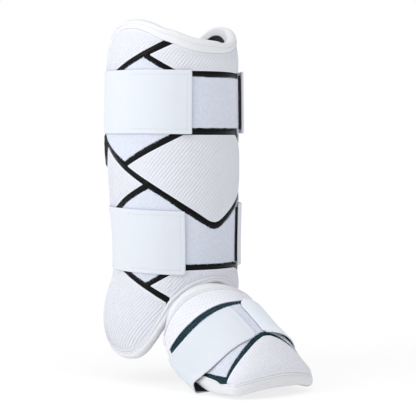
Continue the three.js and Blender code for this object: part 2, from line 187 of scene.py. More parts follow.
# Angle, lower edge and upper edge of the shin panels, which stop at the seams. Rows that start at an
# angle under 0 hold both sides, and the others hold one side for both. One far panel has its own rows.
RIBBED_FRONTS = {
    "top_front_panel": [
        (-58.6, 329.4, 330.4), (-38, 315.4, 341.5), (-36.2, 314.4, OPEN_HIGH),
        (-22.5, 313.6, OPEN_HIGH), (0, 313.6, OPEN_HIGH), (8, 313.6, OPEN_HIGH),
        (22.5, 313.3, OPEN_HIGH), (36.2, 312.8, OPEN_HIGH), (46, 313.4, 337.7),
        (58.6, 329.4, 330.4),
    ],
    "centre_panel": [
        (-81.2, 216.7, 217.9), (-58.4, 200.2, 231.9), (-29.8, 178.6, 249.1), (-8, 162.8, 249.1),
        (-4, 160.8, 249.1), (0, 160.2, 249.1), (4, 161.2, 249.1), (8, 163.6, 249.1),
        (29.8, 179.8, 249.1), (58.4, 201, 231.4), (81.2, 216.9, 217.7),
    ],
    "bottom_front_panel": [
        (0, OPEN_LOW, 112), (29.8, OPEN_LOW, 111.8), (38, OPEN_LOW, 109.6), (42, 84.8, 108.4),
        (60, 95.6, 96.4),
    ],
}
LOOP_FRONTS = {
    "upper_loop_panel": [
        (-37, 256.2, 309), (-22.5, 256.2, 307.8), (0, 256.2, 307), (22.5, 256.2, 307.4),
        (37, 256.2, 307),
    ],
    "lower_loop_panel": [
        (-42.9, 115.4, 180.8), (-30, 118, 170.6), (-16, 118, 160.5), (-5, 118, 153.6),
        (0, 118, 153.1), (4, 118, 154), (8, 118, 156.2), (30, 118, 172.4), (42.9, 115.4, 181.6),
    ],
}
RIBBED_SIDES = {
    "top_side_panel": [
        (44.4, 346, OPEN_HIGH), (70, 331.2, OPEN_HIGH), (95.8, 315.8, OPEN_HIGH),
        (131, 294.5, OPEN_HIGH),
    ],
    "mid_side_panel": [
        (66.8, 198.6, 199.2), (86.5, 186.5, 213.7), (111.5, 169, 234), (115, 166.6, 236),
        (119, 163.8, 228), (123, 161, 220), (131, 155.5, 210),
    ],
    "bottom_side_panel": [
        (44.6, OPEN_LOW, 79.4), (60, OPEN_LOW, 89.6), (80, OPEN_LOW, 101.2),
        (93.8, OPEN_LOW, 108.8), (131, OPEN_LOW, 132.5),
    ],
}
LOOP_SIDES = {
    "upper_side_panel": [
        (39.4, 250.6, 311.4), (49.6, 244.6, 316.4), (64.8, 235.3, 327.4), (82.4, 223.9, 317),
        (85, 222.3, 315.4), (106.8, 237.8, 302.5), (124, 250, 291),
    ],
    "lower_side_panel": [
        (42.2, 115.4, 180.7), (53, 107.8, 188.8), (61.2, 102.1, 194.2), (65.5, 99.4, 192.1),
        (82.8, 109, 181.4), (91.2, 114.4, 175), (124, 138, 149),
    ],
}
FAR_LOOP_SIDES = {
    "upper_side_panel": [
        (39.4, 251, 306.9), (46, 247.2, 307.4), (50, 245, 311), (64.8, 235.8, 327.4),
        (82.4, 224.4, 317), (85, 222.8, 315.4), (106.8, 238.2, 302.5), (124, 250, 291),
    ],
}

# Place along the foot guard, half width, ridge, base and fullness of its arched sections
FOOT = Table([
    (-0.16, 52.2, -171, 0, -152.6, -6.8, 1), (-0.12, 52.2, -170.5, 4.5, -152, -3, 1),
    (0, 52, -168.5, 18, -150, 8, 1), (0.25, 54.8, -157, 37, -134, 7, 1),
    (0.45, 56, -143, 53, -114, 7, 0.95), (0.65, 56, -123, 68.5, -92, 10, 0.9),
    (0.85, 57.5, -99, 84, -72, 20, 0.85), (1, 58.5, -75, 96, -57, 37, 0.8),
    (1.1, 58.5, -67, 104, -50, 45, 0.8), (1.2, 58, -60, 111, -44, 52, 0.8),
], smooth=True)

# Angle and place along the foot of the seams at the toe and the collar
TOE_SEAM = Table([(0, -0.012), (20, -0.02), (45, -0.03), (90, -0.03)], smooth=True)
COLLAR_SEAM = Table([
    (-90, 1.05), (-56, 1.026), (-30, 1), (-10, 0.974), (0, 0.964), (10, 0.952), (25, 0.943),
    (45, 0.946), (70, 0.97), (90, 1),
], smooth=True)

# Angle, front edge and rear edge of the foot panels and of the foot strap
FOOT_MESHES = {
    "foot_rear_panel": [
        (0, 0.835, OPEN_HIGH), (4, 0.836, OPEN_HIGH), (30, 0.862, OPEN_HIGH),
        (56, 0.888, OPEN_HIGH), (70, 0.909, OPEN_HIGH), (80, 0.927, OPEN_HIGH),
        (89.6, 0.95, OPEN_HIGH),
    ],
    "foot_toe_panel": [
        (0, OPEN_TOE, 0.436), (5, OPEN_TOE, 0.434), (16, OPEN_TOE, 0.4), (30, OPEN_TOE, 0.344),
        (48, OPEN_TOE, 0.275), (60, OPEN_TOE, 0.226), (74, OPEN_TOE, 0.164),
        (89.6, OPEN_TOE, 0.092),
    ],
}
FOOT_LOOPS = {
    "foot_loop_panel": [
        (0, 0.482, 0.799), (5, 0.48, 0.799), (16, 0.45, 0.804), (30, 0.396, 0.814),
        (41.3, 0.352, 0.823),
    ],
}
FOOT_LOOP_SIDES = {
    "foot_side_panel": [
        (40.7, 0.354, 0.823), (48, 0.326, 0.829), (60, 0.276, 0.842), (72.8, 0.216, 0.864),
        (77, 0.36, 0.874), (79, 0.47, 0.878),
    ],
}
FOOT_STRAP = Table([
    (-93, 0.525, 0.925), (-85, 0.485, 0.895), (-80, 0.458, 0.878), (-70, 0.43, 0.849),
    (-57, 0.426, 0.82), (-40, 0.432, 0.804), (-20, 0.436, 0.795), (-10, 0.452, 0.793),
    (-1, 0.465, 0.793), (2, 0.465, 0.832), (10, 0.452, 0.842), (20, 0.436, 0.848),
    (40, 0.432, 0.852), (57, 0.426, 0.855), (70, 0.43, 0.862), (80, 0.458, 0.88), (93, 0.52, 0.905),
])

# Angles of the foot strap's two ends at its front edge and at its rear edge
FOOT_STRAP_NEAR_END = (12.0, 15.0)
FOOT_STRAP_FAR_END = (-2.0, -3.5)

# Angle and lift of the foot strap's front edge, and share of its width and drop below the foot's base
STRAP_BULGE = Table([
    (-100, 3.6), (-95, 3.6), (-90, 2.8), (-62, 0.4), (-20, 0), (5, 0.4), (18, 1.9), (38, 1.3),
    (60, 0.5), (80, 0.4), (100, 0.4),
], smooth=True)
STRAP_HANG = Table([(0, 10), (0.15, 8.5), (0.5, 5), (1, 4.5)], smooth=True)
FOOT_STRAP_LOW = 84
ROLL_CLEAR = 1.8
ROLL_TURN = 0.6
ROLL_MIDDLE = -5

# Sections of the edge rolls: share of the width beyond the seam, and height over the skin
TOP_ROLL_PROFILE = [
    (0, -1.45), (0, -0.7), (0.05, 0), (0.2, 0.7), (0.36, 0.75), (0.47, 0.35), (0.52, 0.1),
    (0.57, 0.3), (0.72, 0.6), (0.88, -0.3), (1, -3), (1.01, -6), (0.9, -8.2), (0.6, -9.8),
    (0.2, -10.9), (0, -11.4), (-0.15, -11.2), (-0.07, -10.8), (0.05, -10.6), (0.09, -9), (0.09, -6),
    (0.09, -2.4),
]
BEAD_ROLL_PROFILE = [
    (0, -1.45), (0, -0.7), (0.04, -0.05), (0.12, 0.55), (0.22, 0.45), (0.3, -0.1), (0.36, 0.1),
    (0.5, 0.4), (0.7, -0.1), (0.88, -1.8), (0.98, -4.6), (0.98, -7.5), (0.85, -9.8), (0.5, -10.6),
    (0.16, -10.2), (0.11, -6.5), (0.11, -2.4),
]
FOOT_ROLL_PROFILE = [
    (0, -1.45), (0, -0.7), (0.03, -0.1), (0.09, 0.45), (0.155, 0.48), (0.2, 0.25), (0.25, 0.42),
    (0.38, 0.85), (0.55, 0.85), (0.78, 0.1), (0.97, -2.2), (1.01, -5), (0.95, -8), (0.7, -10.3),
    (0.35, -10.7), (0.14, -9), (0.13, -3),
]

# Share of the width and height over the skin of the stitches on the rolls, and the rolls' further measures
TOP_ROLL_SEWN = (0.52, 0.05)
BOTTOM_ROLL_SEWN = (0.12, 0.35)
FOOT_ROLL_SEWN = (0.2, 0.25)
ROLL_LIP = 0.72
ROLL_POINTS = 44
ARCH_ANGLE = 72
ARCH_STATIONS = 19

# Angle and place of the foot roll's seam and edge down the side, from the toe to the collar
FOOT_SIDE_ROLL = [
    (80, -0.02, 82, -0.122), (86, -0.005, 89, -0.108), (89.4, 0.02, 95.5, -0.066),
    (90.2, 0.06, 100.5, 0), (90, 0.12, 101.5, 0.1), (87.4, 0.2, 101, 0.2), (82.6, 0.3, 100, 0.3),
    (82.2, 0.45, 100, 0.45), (85.4, 0.6, 96, 0.6), (88.2, 0.75, 94.5, 0.75), (88, 0.88, 95.5, 0.88),
]
NEAR_COLLAR_CORNER = [(89, 0.98, 97, 0.99), (88.6, 1.045, 92, 1.1)]
FAR_COLLAR_CORNER = [(90.2, 0.95, 97, 0.96), (88.6, 0.998, 92, 1.045)]

# Angle and width of the foot roll at the collar, and angle and place of its edge at the toe
COLLAR_ROLL = Table([
    (-90, 0.09), (-60, 0.1), (-30, 0.096), (0, 0.082), (15, 0.06), (40, 0.05), (90, 0.055),
], smooth=True)
TOE_EDGE = Table([(0, -0.12), (30, -0.122), (50, -0.13), (72, -0.131)], smooth=True)

# How the foot strap pulls the lower edge of the foot roll in: depth, start ahead of the strap and run of
# the tuck, and start and run of the lean by the share of the roll's width
STRAP_TUCK = 4.5
TUCK_AHEAD = 4.0
TUCK_RUN = 7.0
LEAN_START = 0.4
LEAN_RUN = 0.55

# How the foot roll's body is rounded at the corners of its path: stations, and start and run by the
# share of the width
CORNER_STATIONS = 6
BODY_START = 0.2
BODY_RUN = 0.4

# Finer shape of the soft parts
ROUNDING = 0.5
CROWN_REACH = 6.0
PRESS_AHEAD = 3.0
PRESS_RUN = 4.0
CHANNEL_EDGE = -1.65
CHANNEL_SWELL = 1.25
CHANNEL_REACH = 1.4
CHANNEL_UNDER = 1.5
NARROW_CHANNEL = 3.0
WIDE_SWELL = 0.55
MOST_SWELL = {"shin_knit": 2.4, "foot_knit": 0.2}
PRESSED_SWELL = 0.2
SEAM_BEHIND = 1.0
LINING_POINTS = 64
PANEL_LIPS = np.array([0, 0.06, 0.18, 0.36, 0.7, 1.6])
SHELL_LIPS = np.array([0, 0.3, 0.8, 1.5, 2.5, 3.8])
ROLL_LIPS = np.array([0, 0.25, 0.7, 1.4, 2.4, 3.6])
STRAP_LIPS = np.array([0, 0.12, 0.35, 0.75, 1.3, 3.9, 4.35, 4.75, 5.15, 5.6])

# Seams, hems and corners of the straps, and the dark back of the foot strap
STRAP_SEAM = 4.75
SEAM_DEPTH = 0.12
SEAM_WIDTH = 0.45
SEAM_MARGIN = 1.2
STITCHED_LENGTH = 60.0
HEM_EDGE = 1.2
HEM_RISE = 0.12
SETTLE_RUN = 10.0
BACKING = (0.012, 0.016, 0.02)
BACK_BORDER = (0.6, 0.5)
CALF_CORNER = 1.5
FOOT_CORNER = 6.0
FOOT_CENTRE = np.array([0, -110, 25.0])

# Parts of a strap from one of its ends: how far they reach, and the run over which they fade
NEAR_HEM = (4.2, 0.6)
FAR_HEM = (12.0, 6.0)
SEWN_PART = (62.0, 1.5)
# Painted light: how far the foot strap's far end is painted whiter, and the run over which it fades
PAINTED_LIGHT_PART = (80.0, 20.0)

# How the foot strap turns round the roll: the share of its width that lifts, the angles there, shares of
# its hang, how far it stands out and in, and shares of its lift
BULGE_SHARE = 0.5
BULGE_ANGLE = 95
ROLL_ANGLE = 93
TURN_HANG = (0.35, 0.75)
TURN_OUT = 0.5
TURN_IN = 0.9
TURN_SWELL = 0.85
NEAR_LOW_SWELL = 0.65
FAR_LOW_SWELL = 0.45

# Hook tape: its round edge, its bare margins in degrees and millimetres, and its hooks' lift and height
TAPE_EDGE = 0.4
HOOK_MARGINS = (0.8, 1.2)
HOOK_STANDS = 0.2
HOOK_HEIGHT = 0.0005

# Ankle tab: millimetres between its stations and for each degree across. Then the degrees from the back
# edges to the first stitch
TAB_LENGTH = 18
TAB_ACROSS = 0.9
SEWN_FROM_BACK = 4

# Stage, in metres: the floor, the key light's distance and height, the top light's place and both sizes
FLOOR_REACH = 30.0
FLOOR_GAP = 0.001
KEY_PLACE = (2.0, 1.1)
TOP_PLACE = (-0.3, -0.5, 2.0)
LAMP_SIZES = (1.4, 1.8)
WHITE = (1, 1, 1, 1)

# Steps of the grids in millimetres or degrees, their counts, and cells in a row that one back face covers
RIBBED_STEP = 2.2
RIBBED_STRIDE = 3
MESH_STEP = 0.6
MESH_STRIDE = 6
LOOP_STEP = 1.1
LOOP_STRIDE = 4
CALF_STRAP_STEP = 1.3
FOOT_STRAP_STEP = 1.6
STRAP_ACROSS = 2.0
STRAP_LINES = 13
STRAP_STRIDE = 4
TAPE_STEPS = (2.5, 4.0)
TAB_STEPS = (2.0, 0.12)
SHIN_STEP = 1.15
SHIN_ROWS = 170
FOOT_COLUMNS = 150
FOOT_ROWS = 100
ROLL_STEP = 1.0
FOOT_ROLL_STATIONS = 420
SHIN_SEWN_STATIONS = 400
FOOT_SEWN_STATIONS = 500

# Round edges: radius, and the least share of the thickness
SHELL_END = (4.0, 0.1)
ROLL_END = (3.5, 0.06)
TAB_END = (1.0, 0.15)
STRAP_END = (0.75, 0.12)

# Cloth of the lining while it is blown up
LINING_FRAMES = 18
LINING_CLOTH = {
    "quality": 4,
    "mass": 0.3,
    "tension_stiffness": 8,
    "compression_stiffness": 8,
    "bending_stiffness": 0.2,
    "use_pressure": True,
    "uniform_pressure_force": 4.0,
    "vertex_group_mass": "sewn",
}

# Ribs: step along a rib, its fewest steps, steps between its points and over which it tapers, sunk
# depth, size at its tips, and how softly the shade between the ribs starts
RIB_STEP = 0.5
RIB_LEAST = 6
RIB_STRIDE = 9
RIB_TAPER = 4
RIB_SUNK = 0.04
RIB_TIP = 0.2
GROOVE_SOFT = 0.6

# Dimples: their width over their height, the level of their rims, and the metres over which they start
DIMPLE_STEEPNESS = 2.1
DIMPLE_RIM = (0.15, 0.85)
DIMPLE_FADE = 0.0012

# Loop cloth: raggedness of its edge, depth and rise of its fibres, and fibres on each square metre
RAGGED = 0.3
FIBRE_ROOT = 0.25
FIBRE_RISE = 0.4
FIBRE_DENSITY = 1.2e5


def number(name, description, default, **limits):
    """A number that a user may change."""
    return FloatProperty(name=name, description=description, default=default, **limits)


# Lengths in metres, angles, powers in watts and shares from 0 to 1 that a user may change
length = partial(number, min=0, unit="LENGTH", precision=5)
angle_size = partial(number, subtype="ANGLE")
power = partial(number, min=0, unit="POWER")
share = partial(number, min=0, max=1, subtype="FACTOR")


def colour(name, description, default):
    """A colour that a user may change."""
    return FloatVectorProperty(
        name=name, description=description, default=default, size=3, min=0, max=1, subtype="COLOR"
    )


class LegGuardSizes(bpy.types.PropertyGroup):
    """Sizes of the relief and sewing"""

    rib_pitch: length("Rib pitch", "Distance between the slanting ribs of the shin panels", 0.00308)
    rib_width: length("Rib width", "Width of one rib", 0.0020)
    rib_height: length("Rib height", "Height of one rib over its panel", 0.0004)
    rib_slope: angle_size("Rib slope", "Rise of the ribs from the level", math.radians(50))
    border: length("Welded border", "Smooth border round each ribbed or meshed panel", 0.0016)
    crown: length("Panel crown", "Swell of a panel's middle over its border", 0.0006)
    dimple_pitch: length("Dimple pitch", "Distance between columns of dimples on the foot panels", 0.0032)
    dimple_depth: length("Dimple depth", "Depth of one dimple", 0.0003)
    stitch_pitch: length("Stitch pitch", "Distance from stitch to stitch", 0.0030)
    stitch_length: length("Stitch length", "Length of one stitch", 0.0021)
    stitch_thickness: length("Stitch thickness", "Thickness of the sewing thread", 0.00055)
    fibre_length: length("Fibre length", "Length of the loose fibres of the loop cloth", 0.0011)
    fibre_spacing: length("Fibre spacing", "Distance between loose fibres along the cut edges", 0.0008)
    hook_pitch: length("Hook pitch", "Distance between the hooks of the hook tape", 0.0018)
    lining_swell: length("Lining swell", "Most that the lining swells between its seams", 0.0024)
    seed: IntProperty(name="Seed", description="Start of the random draws", default=7, min=0)


class LegGuardColours(bpy.types.PropertyGroup):
    """Colours of the cloths and skins"""

    panel: colour("Ribbed panel", "Welded white skin of the shin", (0.72, 0.735, 0.80))
    mesh_panel: colour("Mesh panel", "White mesh of the foot panels", (0.79, 0.80, 0.87))
    binding: colour("Binding", "White bound edges", (0.76, 0.77, 0.805))
    loop: colour("Loop cloth", "Brushed cloth that the straps hold to", (0.66, 0.70, 0.80))
    elastic: colour("Elastic", "Woven straps", (0.685, 0.725, 0.785))
    shin_cloth: colour("Shin cloth", "Black cloth of the shin shell", (0.0036, 0.0036, 0.0046))
    foot_cloth: colour("Foot cloth", "Dark knit of the foot guard", (0.009, 0.036, 0.051))
    hook: colour("Hook tape", "Black hook tape", (0.012, 0.012, 0.013))
    thread: colour("Thread", "Sewing thread", (0.58, 0.59, 0.62))


class LegGuardStage(bpy.types.PropertyGroup):
    """Camera, light and floor"""

    azimuth: angle_size("Azimuth", "Camera's turn round the leg", math.radians(-38.5))
    distance: length("Distance", "Camera's distance from the leg's axis", 1.68)
    height: length("Height", "Camera's height over the frame's origin", 0.03925)
    turn: angle_size("Turn", "Camera's turn away from the leg's axis", 0.020372)
    tilt: angle_size("Tilt", "Camera's tilt below the level", 0.046217)
    lens: number("Lens", "Focal length in millimetres", 138.46, min=1)
    sky: number("Sky", "Strength of the even light", 0.515, min=0)
    key: power("Key", "Power of the key light in watts", 22.0)
    key_turn: angle_size("Key turn", "Key light's turn from the camera", math.radians(-62))
    top: power("Top", "Power of the light overhead in watts", 18.0)
    floor: colour("Floor", "Plain pale floor", (0.93, 0.93, 0.93))
    shadow_lift: share("Shadow lift", "How far the shadow on the floor is faded", 0.78)


Surface = namedtuple("Surface", "point across along")


def shin_point(angle, height, over):
    """Points of the shin shell's skin, lifted over it."""
    half_width, half_depth, centre = SHIN(height)
    turn = np.radians(angle)
    x = (half_width + over) * np.sin(turn)
    y = centre - (half_depth + over) * np.cos(turn)
    return np.stack(np.broadcast_arrays(x, y, height), -1)


def foot_point(angle, along, over):
    """Points of the foot guard's skin, lifted over it. Past the base it hangs straight down."""
    angle, along, over = np.broadcast_arrays(*(np.asarray(part, float) for part in (angle, along, over)))
    step = 0.01
    half_width, ridge_y, ridge_height, base_y, base_height, fullness = FOOT(along)
    ahead = FOOT(along + step)
    behind = FOOT(along - step)
    run = ahead[1] - behind[1]
    rise = ahead[2] - behind[2]
    slant = np.hypot(run, rise)
    ridge_y = ridge_y - rise / slant * over
    ridge_height = ridge_height + run / slant * over
    inside = np.clip(angle, -90, 90)
    turn = np.radians(inside)
    share_of_ridge = np.maximum(np.cos(turn), 0) ** fullness
    x = (half_width + over) * np.sin(turn)
    y = base_y + (ridge_y - base_y) * share_of_ridge
    z = base_height + (ridge_height - base_height) * share_of_ridge - np.abs(angle - inside)
    return np.stack([x, y, z], -1)


# Millimetres for each degree across a surface and for each unit along it
SHIN_SKIN = Surface(shin_point, across=1.18, along=1.0)
FOOT_SKIN = Surface(foot_point, across=1.02, along=125.0)

# Surface, place along it and further depth of the ankle tab's stations inside the lining
TAB_STATIONS = [
    (SHIN_SKIN, 126.0, 0), (SHIN_SKIN, 112.0, 0), (SHIN_SKIN, 97.0, 1.5), (FOOT_SKIN, 1.02, 1.2),
    (FOOT_SKIN, 0.9, 0), (FOOT_SKIN, 0.8, 0),
]


def top_seam(angle):
    """Height of the top roll's seam."""
    return TOP_SEAM(np.abs(angle))[0] + TOP_LEAN(angle)[0]


def bottom_seam(angle):
    """Height of the bottom roll's seam."""
    return BOTTOM_SEAM(np.abs(angle))[0]


def toe_seam(angle):
    """Place of the foot roll's seam at the toe."""
    return TOE_SEAM(np.abs(angle))[0]


def collar_seam(angle):
    """Place of the foot roll's seam at the collar."""
    return COLLAR_SEAM(angle)[0]


def smooth_step(value):
    """Eases from 0 to 1."""
    value = np.clip(value, 0, 1)
    return value * value * (3 - 2 * value)


def round_off(distance, radius):
    """Share of full height at a distance inside a round edge."""
    return np.sqrt(1 - (1 - np.clip(distance / radius, 0, 1)) ** 2)


def thinned(distance, radius, least):
    """Share of the full thickness at a distance inside a round edge that keeps some thickness."""
    return np.maximum(round_off(distance, radius), least)


def in_frame(points):
    """Millimetres over the sole as metres in the frame."""
    return (points - np.array([0, 0, LEG_CENTRE])) * MILLIMETRE


def spread(low, high, step, lips):
    """Places from low to high, even in the middle and closer together along both ends."""
    low = np.asarray(low, float)
    high = np.asarray(high, float)
    room = high - low
    lips = lips * np.minimum(1, room / (2.4 * lips[-1]))[..., None]
    count = max(3, math.ceil(float(np.max(room - 2 * lips[..., -1])) / step) + 1)
    start = low[..., None] + lips
    end = high[..., None] - lips[..., ::-1]
    middle = np.linspace(0, 1, count)[1:-1]
    inner = start[..., -1:] + (end[..., :1] - start[..., -1:]) * middle
    return np.concatenate([start, inner, end], -1)


class Outline:
    """A panel on a surface: from its first to its last angle, between its low and its high edge."""

    def __init__(self, surface, rows, first, last):
        self.surface = surface
        self.rows = Table(rows)
        self.uneven = self.rows.keys[0] < 0
        self.first = first
        self.last = last

    def edges(self, angle):
        """The low and the high edge at an angle, stopped at the seams of the rolls."""
        low, high = self.rows(angle if self.uneven else np.abs(angle))
        bottom, top = (bottom_seam, top_seam) if self.surface is SHIN_SKIN else (toe_seam, collar_seam)
        room = SEAT / self.surface.along
        return np.maximum(low, bottom(angle) + room), np.minimum(high, top(angle) - room)

    def inset(self, angle, at):
        """Millimetres from a point to the nearest edge, less than 0 outside."""
        step = 0.2
        scale = self.surface.along / self.surface.across
        ahead = self.edges(angle + step)
        behind = self.edges(angle - step)
        low, high = self.edges(angle)
        lean_low = (ahead[0] - behind[0]) / (2 * step) * scale
        lean_high = (ahead[1] - behind[1]) / (2 * step) * scale
        from_low = (at - low) * self.surface.along / np.sqrt(1 + lean_low**2)
        from_high = (high - at) * self.surface.along / np.sqrt(1 + lean_high**2)
        from_ends = np.minimum(angle - self.first, self.last - angle) * self.surface.across
        return np.minimum(np.minimum(from_low, from_high), from_ends)

    def columns(self, step):
        """Angles with one at each corner of the outline, closer together along both ends."""
        lips = PANEL_LIPS / self.surface.across
        even = spread(self.first, self.last, step / self.surface.across, lips)
        corners = self.rows.keys if self.uneven else np.concatenate([self.rows.keys, -self.rows.keys])
        corners = corners[(corners > self.first + 0.1) & (corners < self.last - 0.1)]
        apart = np.abs(even[:, None] - corners[None]).min(1, initial=9) > 0.08
        apart[[0, -1]] = True
        return np.unique(np.concatenate([even[apart], corners]))


def two_sided(surface, panels):
    """Outlines that cross the front line or the ridge, by node."""
    return {name: Outline(surface, rows, -rows[-1][0], rows[-1][0]) for name, rows in panels.items()}


def left_and_right(surface, panels, far_panels=None):
    """Outlines on both sides, by node. The far side may have rows of its own."""
    outlines = {}
    for name, rows in panels.items():
        outlines[f"{name}_left"] = Outline(surface, rows, -rows[-1][0], -rows[0][0])
        far_rows = (far_panels or {}).get(name, rows)
        outlines[f"{name}_right"] = Outline(surface, far_rows, far_rows[0][0], far_rows[-1][0])
    return outlines


RIBBED = {**two_sided(SHIN_SKIN, RIBBED_FRONTS), **left_and_right(SHIN_SKIN, RIBBED_SIDES)}
SHIN_LOOPS = {**two_sided(SHIN_SKIN, LOOP_FRONTS), **left_and_right(SHIN_SKIN, LOOP_SIDES, FAR_LOOP_SIDES)}
MESHED = two_sided(FOOT_SKIN, FOOT_MESHES)
FOOT_LOOP_CLOTHS = {**two_sided(FOOT_SKIN, FOOT_LOOPS), **left_and_right(FOOT_SKIN, FOOT_LOOP_SIDES)}


def pressed(surface, angle, at):
    """How firmly the straps press the panels: 1 under them and 0 away from them."""
    if surface is FOOT_SKIN:
        front, rear = FOOT_STRAP(angle)
        inside = np.minimum(at - front, rear - at) * surface.along
        return smooth_step((inside + PRESS_AHEAD) / PRESS_RUN)
    firm = np.zeros(np.broadcast(angle, at).shape)
    for strap in CALF_STRAPS.values():
        from_edges = STRAP_WIDTH / 2 - np.abs(at - strap_middle(strap, angle))
        from_ends = np.maximum(angle - strap.far_end + HOOK_SHOWS, -strap.near_end - angle) * surface.across
        inside = np.minimum(from_edges, from_ends)
        firm = np.maximum(firm, smooth_step((inside + PRESS_AHEAD) / PRESS_RUN))
    return firm


def panel_relief(outline, angle, at, crown, border):
    """Height of a panel over the skin line: a round edge, a level border and a swell inside it."""
    inset = np.maximum(outline.inset(angle, at), 0)
    swell = crown * (1 - np.exp(-np.maximum(inset - border, 0) / CROWN_REACH))
    return swell * (1 - pressed(outline.surface, angle, at)) - ROUNDING * (1 - round_off(inset, ROUNDING))


# Meshes

def cells(grid):
    """Faces between neighbours on a grid of point numbers."""
    return np.stack([grid[:-1, :-1], grid[1:, :-1], grid[1:, 1:], grid[:-1, 1:]], -1).reshape(-1, 4)


def rim(grid):
    """The point numbers round a grid, in the order of its faces."""
    return np.concatenate([grid[:-1, 0], grid[-1, :-1], grid[:0:-1, -1], grid[0, :0:-1]])


def wide_cells(grid, stride):
    """Faces several cells wide that keep every point of the rim."""
    rows = [*range(0, grid.shape[0] - 1, stride), grid.shape[0] - 1]
    columns = [*range(0, grid.shape[1] - 1, stride), grid.shape[1] - 1]
    faces = []
    for top, bottom in zip(rows, rows[1:]):
        for left, right in zip(columns, columns[1:]):
            down = 1 if left == 0 else bottom - top
            up = 1 if right == columns[-1] else bottom - top
            over = 1 if bottom == rows[-1] else right - left
            back = 1 if top == 0 else right - left
            face = [
                *grid[top:bottom:down, left],
                *grid[bottom, left:right:over],
                *grid[bottom:top:-up, right],
                *grid[top, right:left:-back],
            ]
            faces.append(face[::-1])
    return faces


def shell(outer, inner, stride=1):
    """Points, four-sided faces and wide faces of a closed skin between two grids of points."""
    count = outer.shape[0] * outer.shape[1]
    grid = np.arange(count).reshape(outer.shape[:2])
    below = grid + count
    edge = rim(grid)
    edge_below = rim(below)
    wall = np.stack([np.roll(edge, -1), edge, edge_below, np.roll(edge_below, -1)], -1)
    quads = [cells(grid), wall]
    wide = []
    if stride == 1:
        quads.append(cells(below)[:, ::-1])
    else:
        wide = wide_cells(below, stride)
    quads = np.concatenate(quads)
    points = np.concatenate([outer.reshape(-1, 3), inner.reshape(-1, 3)])
    a, b, c = (outer.reshape(-1, 3)[cells(grid)[:, corner]] for corner in (0, 1, 2))
    facing = np.einsum("ij,ij->i", np.cross(b - a, c - a), a - inner.reshape(-1, 3)[cells(grid)[:, 0]])
    if facing.sum() < 0:
        quads = quads[:, ::-1]
        wide = [face[::-1] for face in wide]
    return points, quads, wide


def mesh_of(name, points, quads, wide=(), uv=None):
    """A smooth mesh in the frame from points in millimetres."""
    corners = np.concatenate([quads.ravel(), *(np.array(face) for face in wide)]).astype(np.int64)
    used, corners = np.unique(corners, return_inverse=True)
    sizes = np.array([4] * len(quads) + [len(face) for face in wide])
    starts = np.concatenate([[0], np.cumsum(sizes)[:-1]])
    mesh = bpy.data.meshes.new(name)
    mesh.vertices.add(len(used))
    mesh.vertices.foreach_set("co", in_frame(points[used]).astype(np.float32).ravel())
    mesh.loops.add(len(corners))
    mesh.loops.foreach_set("vertex_index", corners.astype(np.int32).ravel())
    mesh.polygons.add(len(sizes))
    mesh.polygons.foreach_set("loop_start", starts.astype(np.int32))
    if uv is not None:
        layer = mesh.uv_layers.new(name="cloth")
        layer.uv.foreach_set("vector", uv[used][corners].astype(np.float32).ravel())
    mesh.update(calc_edges=True)
    mesh.validate()
    mesh.shade_smooth()
    return mesh, used


def put(name, mesh, material=None):
    """A new object at the origin with that mesh."""
    piece = bpy.data.objects.new(name, mesh)
    bpy.context.scene.collection.objects.link(piece)
    if material is not None:
        piece.data.materials.append(material)
    return piece


def finish_piece(piece, slot, *nodes):
    """Hangs a finished piece on the frame in place of its nodes."""
    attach(piece, BODY)
    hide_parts(*nodes)
    return piece


def point_attribute(mesh, name, kind, values):
    """Stores a value for each point of a mesh."""
    attribute = mesh.attributes.new(name, kind, "POINT")
    field = "vector" if kind == "FLOAT_VECTOR" else "value"
    attribute.data.foreach_set(field, np.asarray(values, np.float32).ravel())


def lines_object(name, lines, closed=False, **attributes):
    """A mesh of open or closed lines with values at its points. Lines are in millimetres."""
    sizes = [len(line) for line in lines]
    starts = np.concatenate([[0], np.cumsum(sizes)[:-1]])
    edges = []
    for start, size in zip(starts, sizes):
        edges += [(start + i, start + i + 1) for i in range(size - 1)]
        if closed:
            edges.append((start + size - 1, start))
    mesh = bpy.data.meshes.new(name)
    mesh.from_pydata(in_frame(np.concatenate(lines)).tolist(), edges, [])
    for key, values in attributes.items():
        values = np.concatenate(values)
        point_attribute(mesh, key, "FLOAT_VECTOR" if values.ndim == 2 else "FLOAT", values)
    return put(name, mesh)


def outward(surface, angle, at):
    """Unit vectors straight out of a surface."""
    away = surface.point(angle, at, 1.0) - surface.point(angle, at, 0.0)
    return away / np.linalg.norm(away, axis=-1, keepdims=True)


def grid_normals(points):
    """Unit normals of a grid of points."""
    along = np.gradient(points, axis=0)
    across = np.gradient(points, axis=1)
    normals = np.cross(along, across)
    return normals / np.maximum(np.linalg.norm(normals, axis=-1, keepdims=True), 1e-9)


# Node trees

def fill(tree, socket, value):
    """Sets a socket to a value, or links it to another socket or to a node's first output."""
    if isinstance(value, bpy.types.Node):
        value = value.outputs[0]
    if isinstance(value, bpy.types.NodeSocket):
        tree.links.new(value, socket)
    else:
        socket.default_value = value


def wire(tree, kind, settings=None, **inputs):
    """Adds a node, sets its options and fills its inputs, by identifier or by name."""
    node = tree.nodes.new(kind)
    for key, value in (settings or {}).items():
        setattr(node, key, value)
    for key, value in inputs.items():
        name = key.replace("_", " ")
        socket = next((s for s in node.inputs if s.identifier == key), None)
        socket = socket or next(s for s in node.inputs if s.name == name and s.enabled)
        fill(tree, socket, value)
    return node


SOCKETS = {float: "NodeSocketFloat", int: "NodeSocketInt", "object": "NodeSocketObject"}


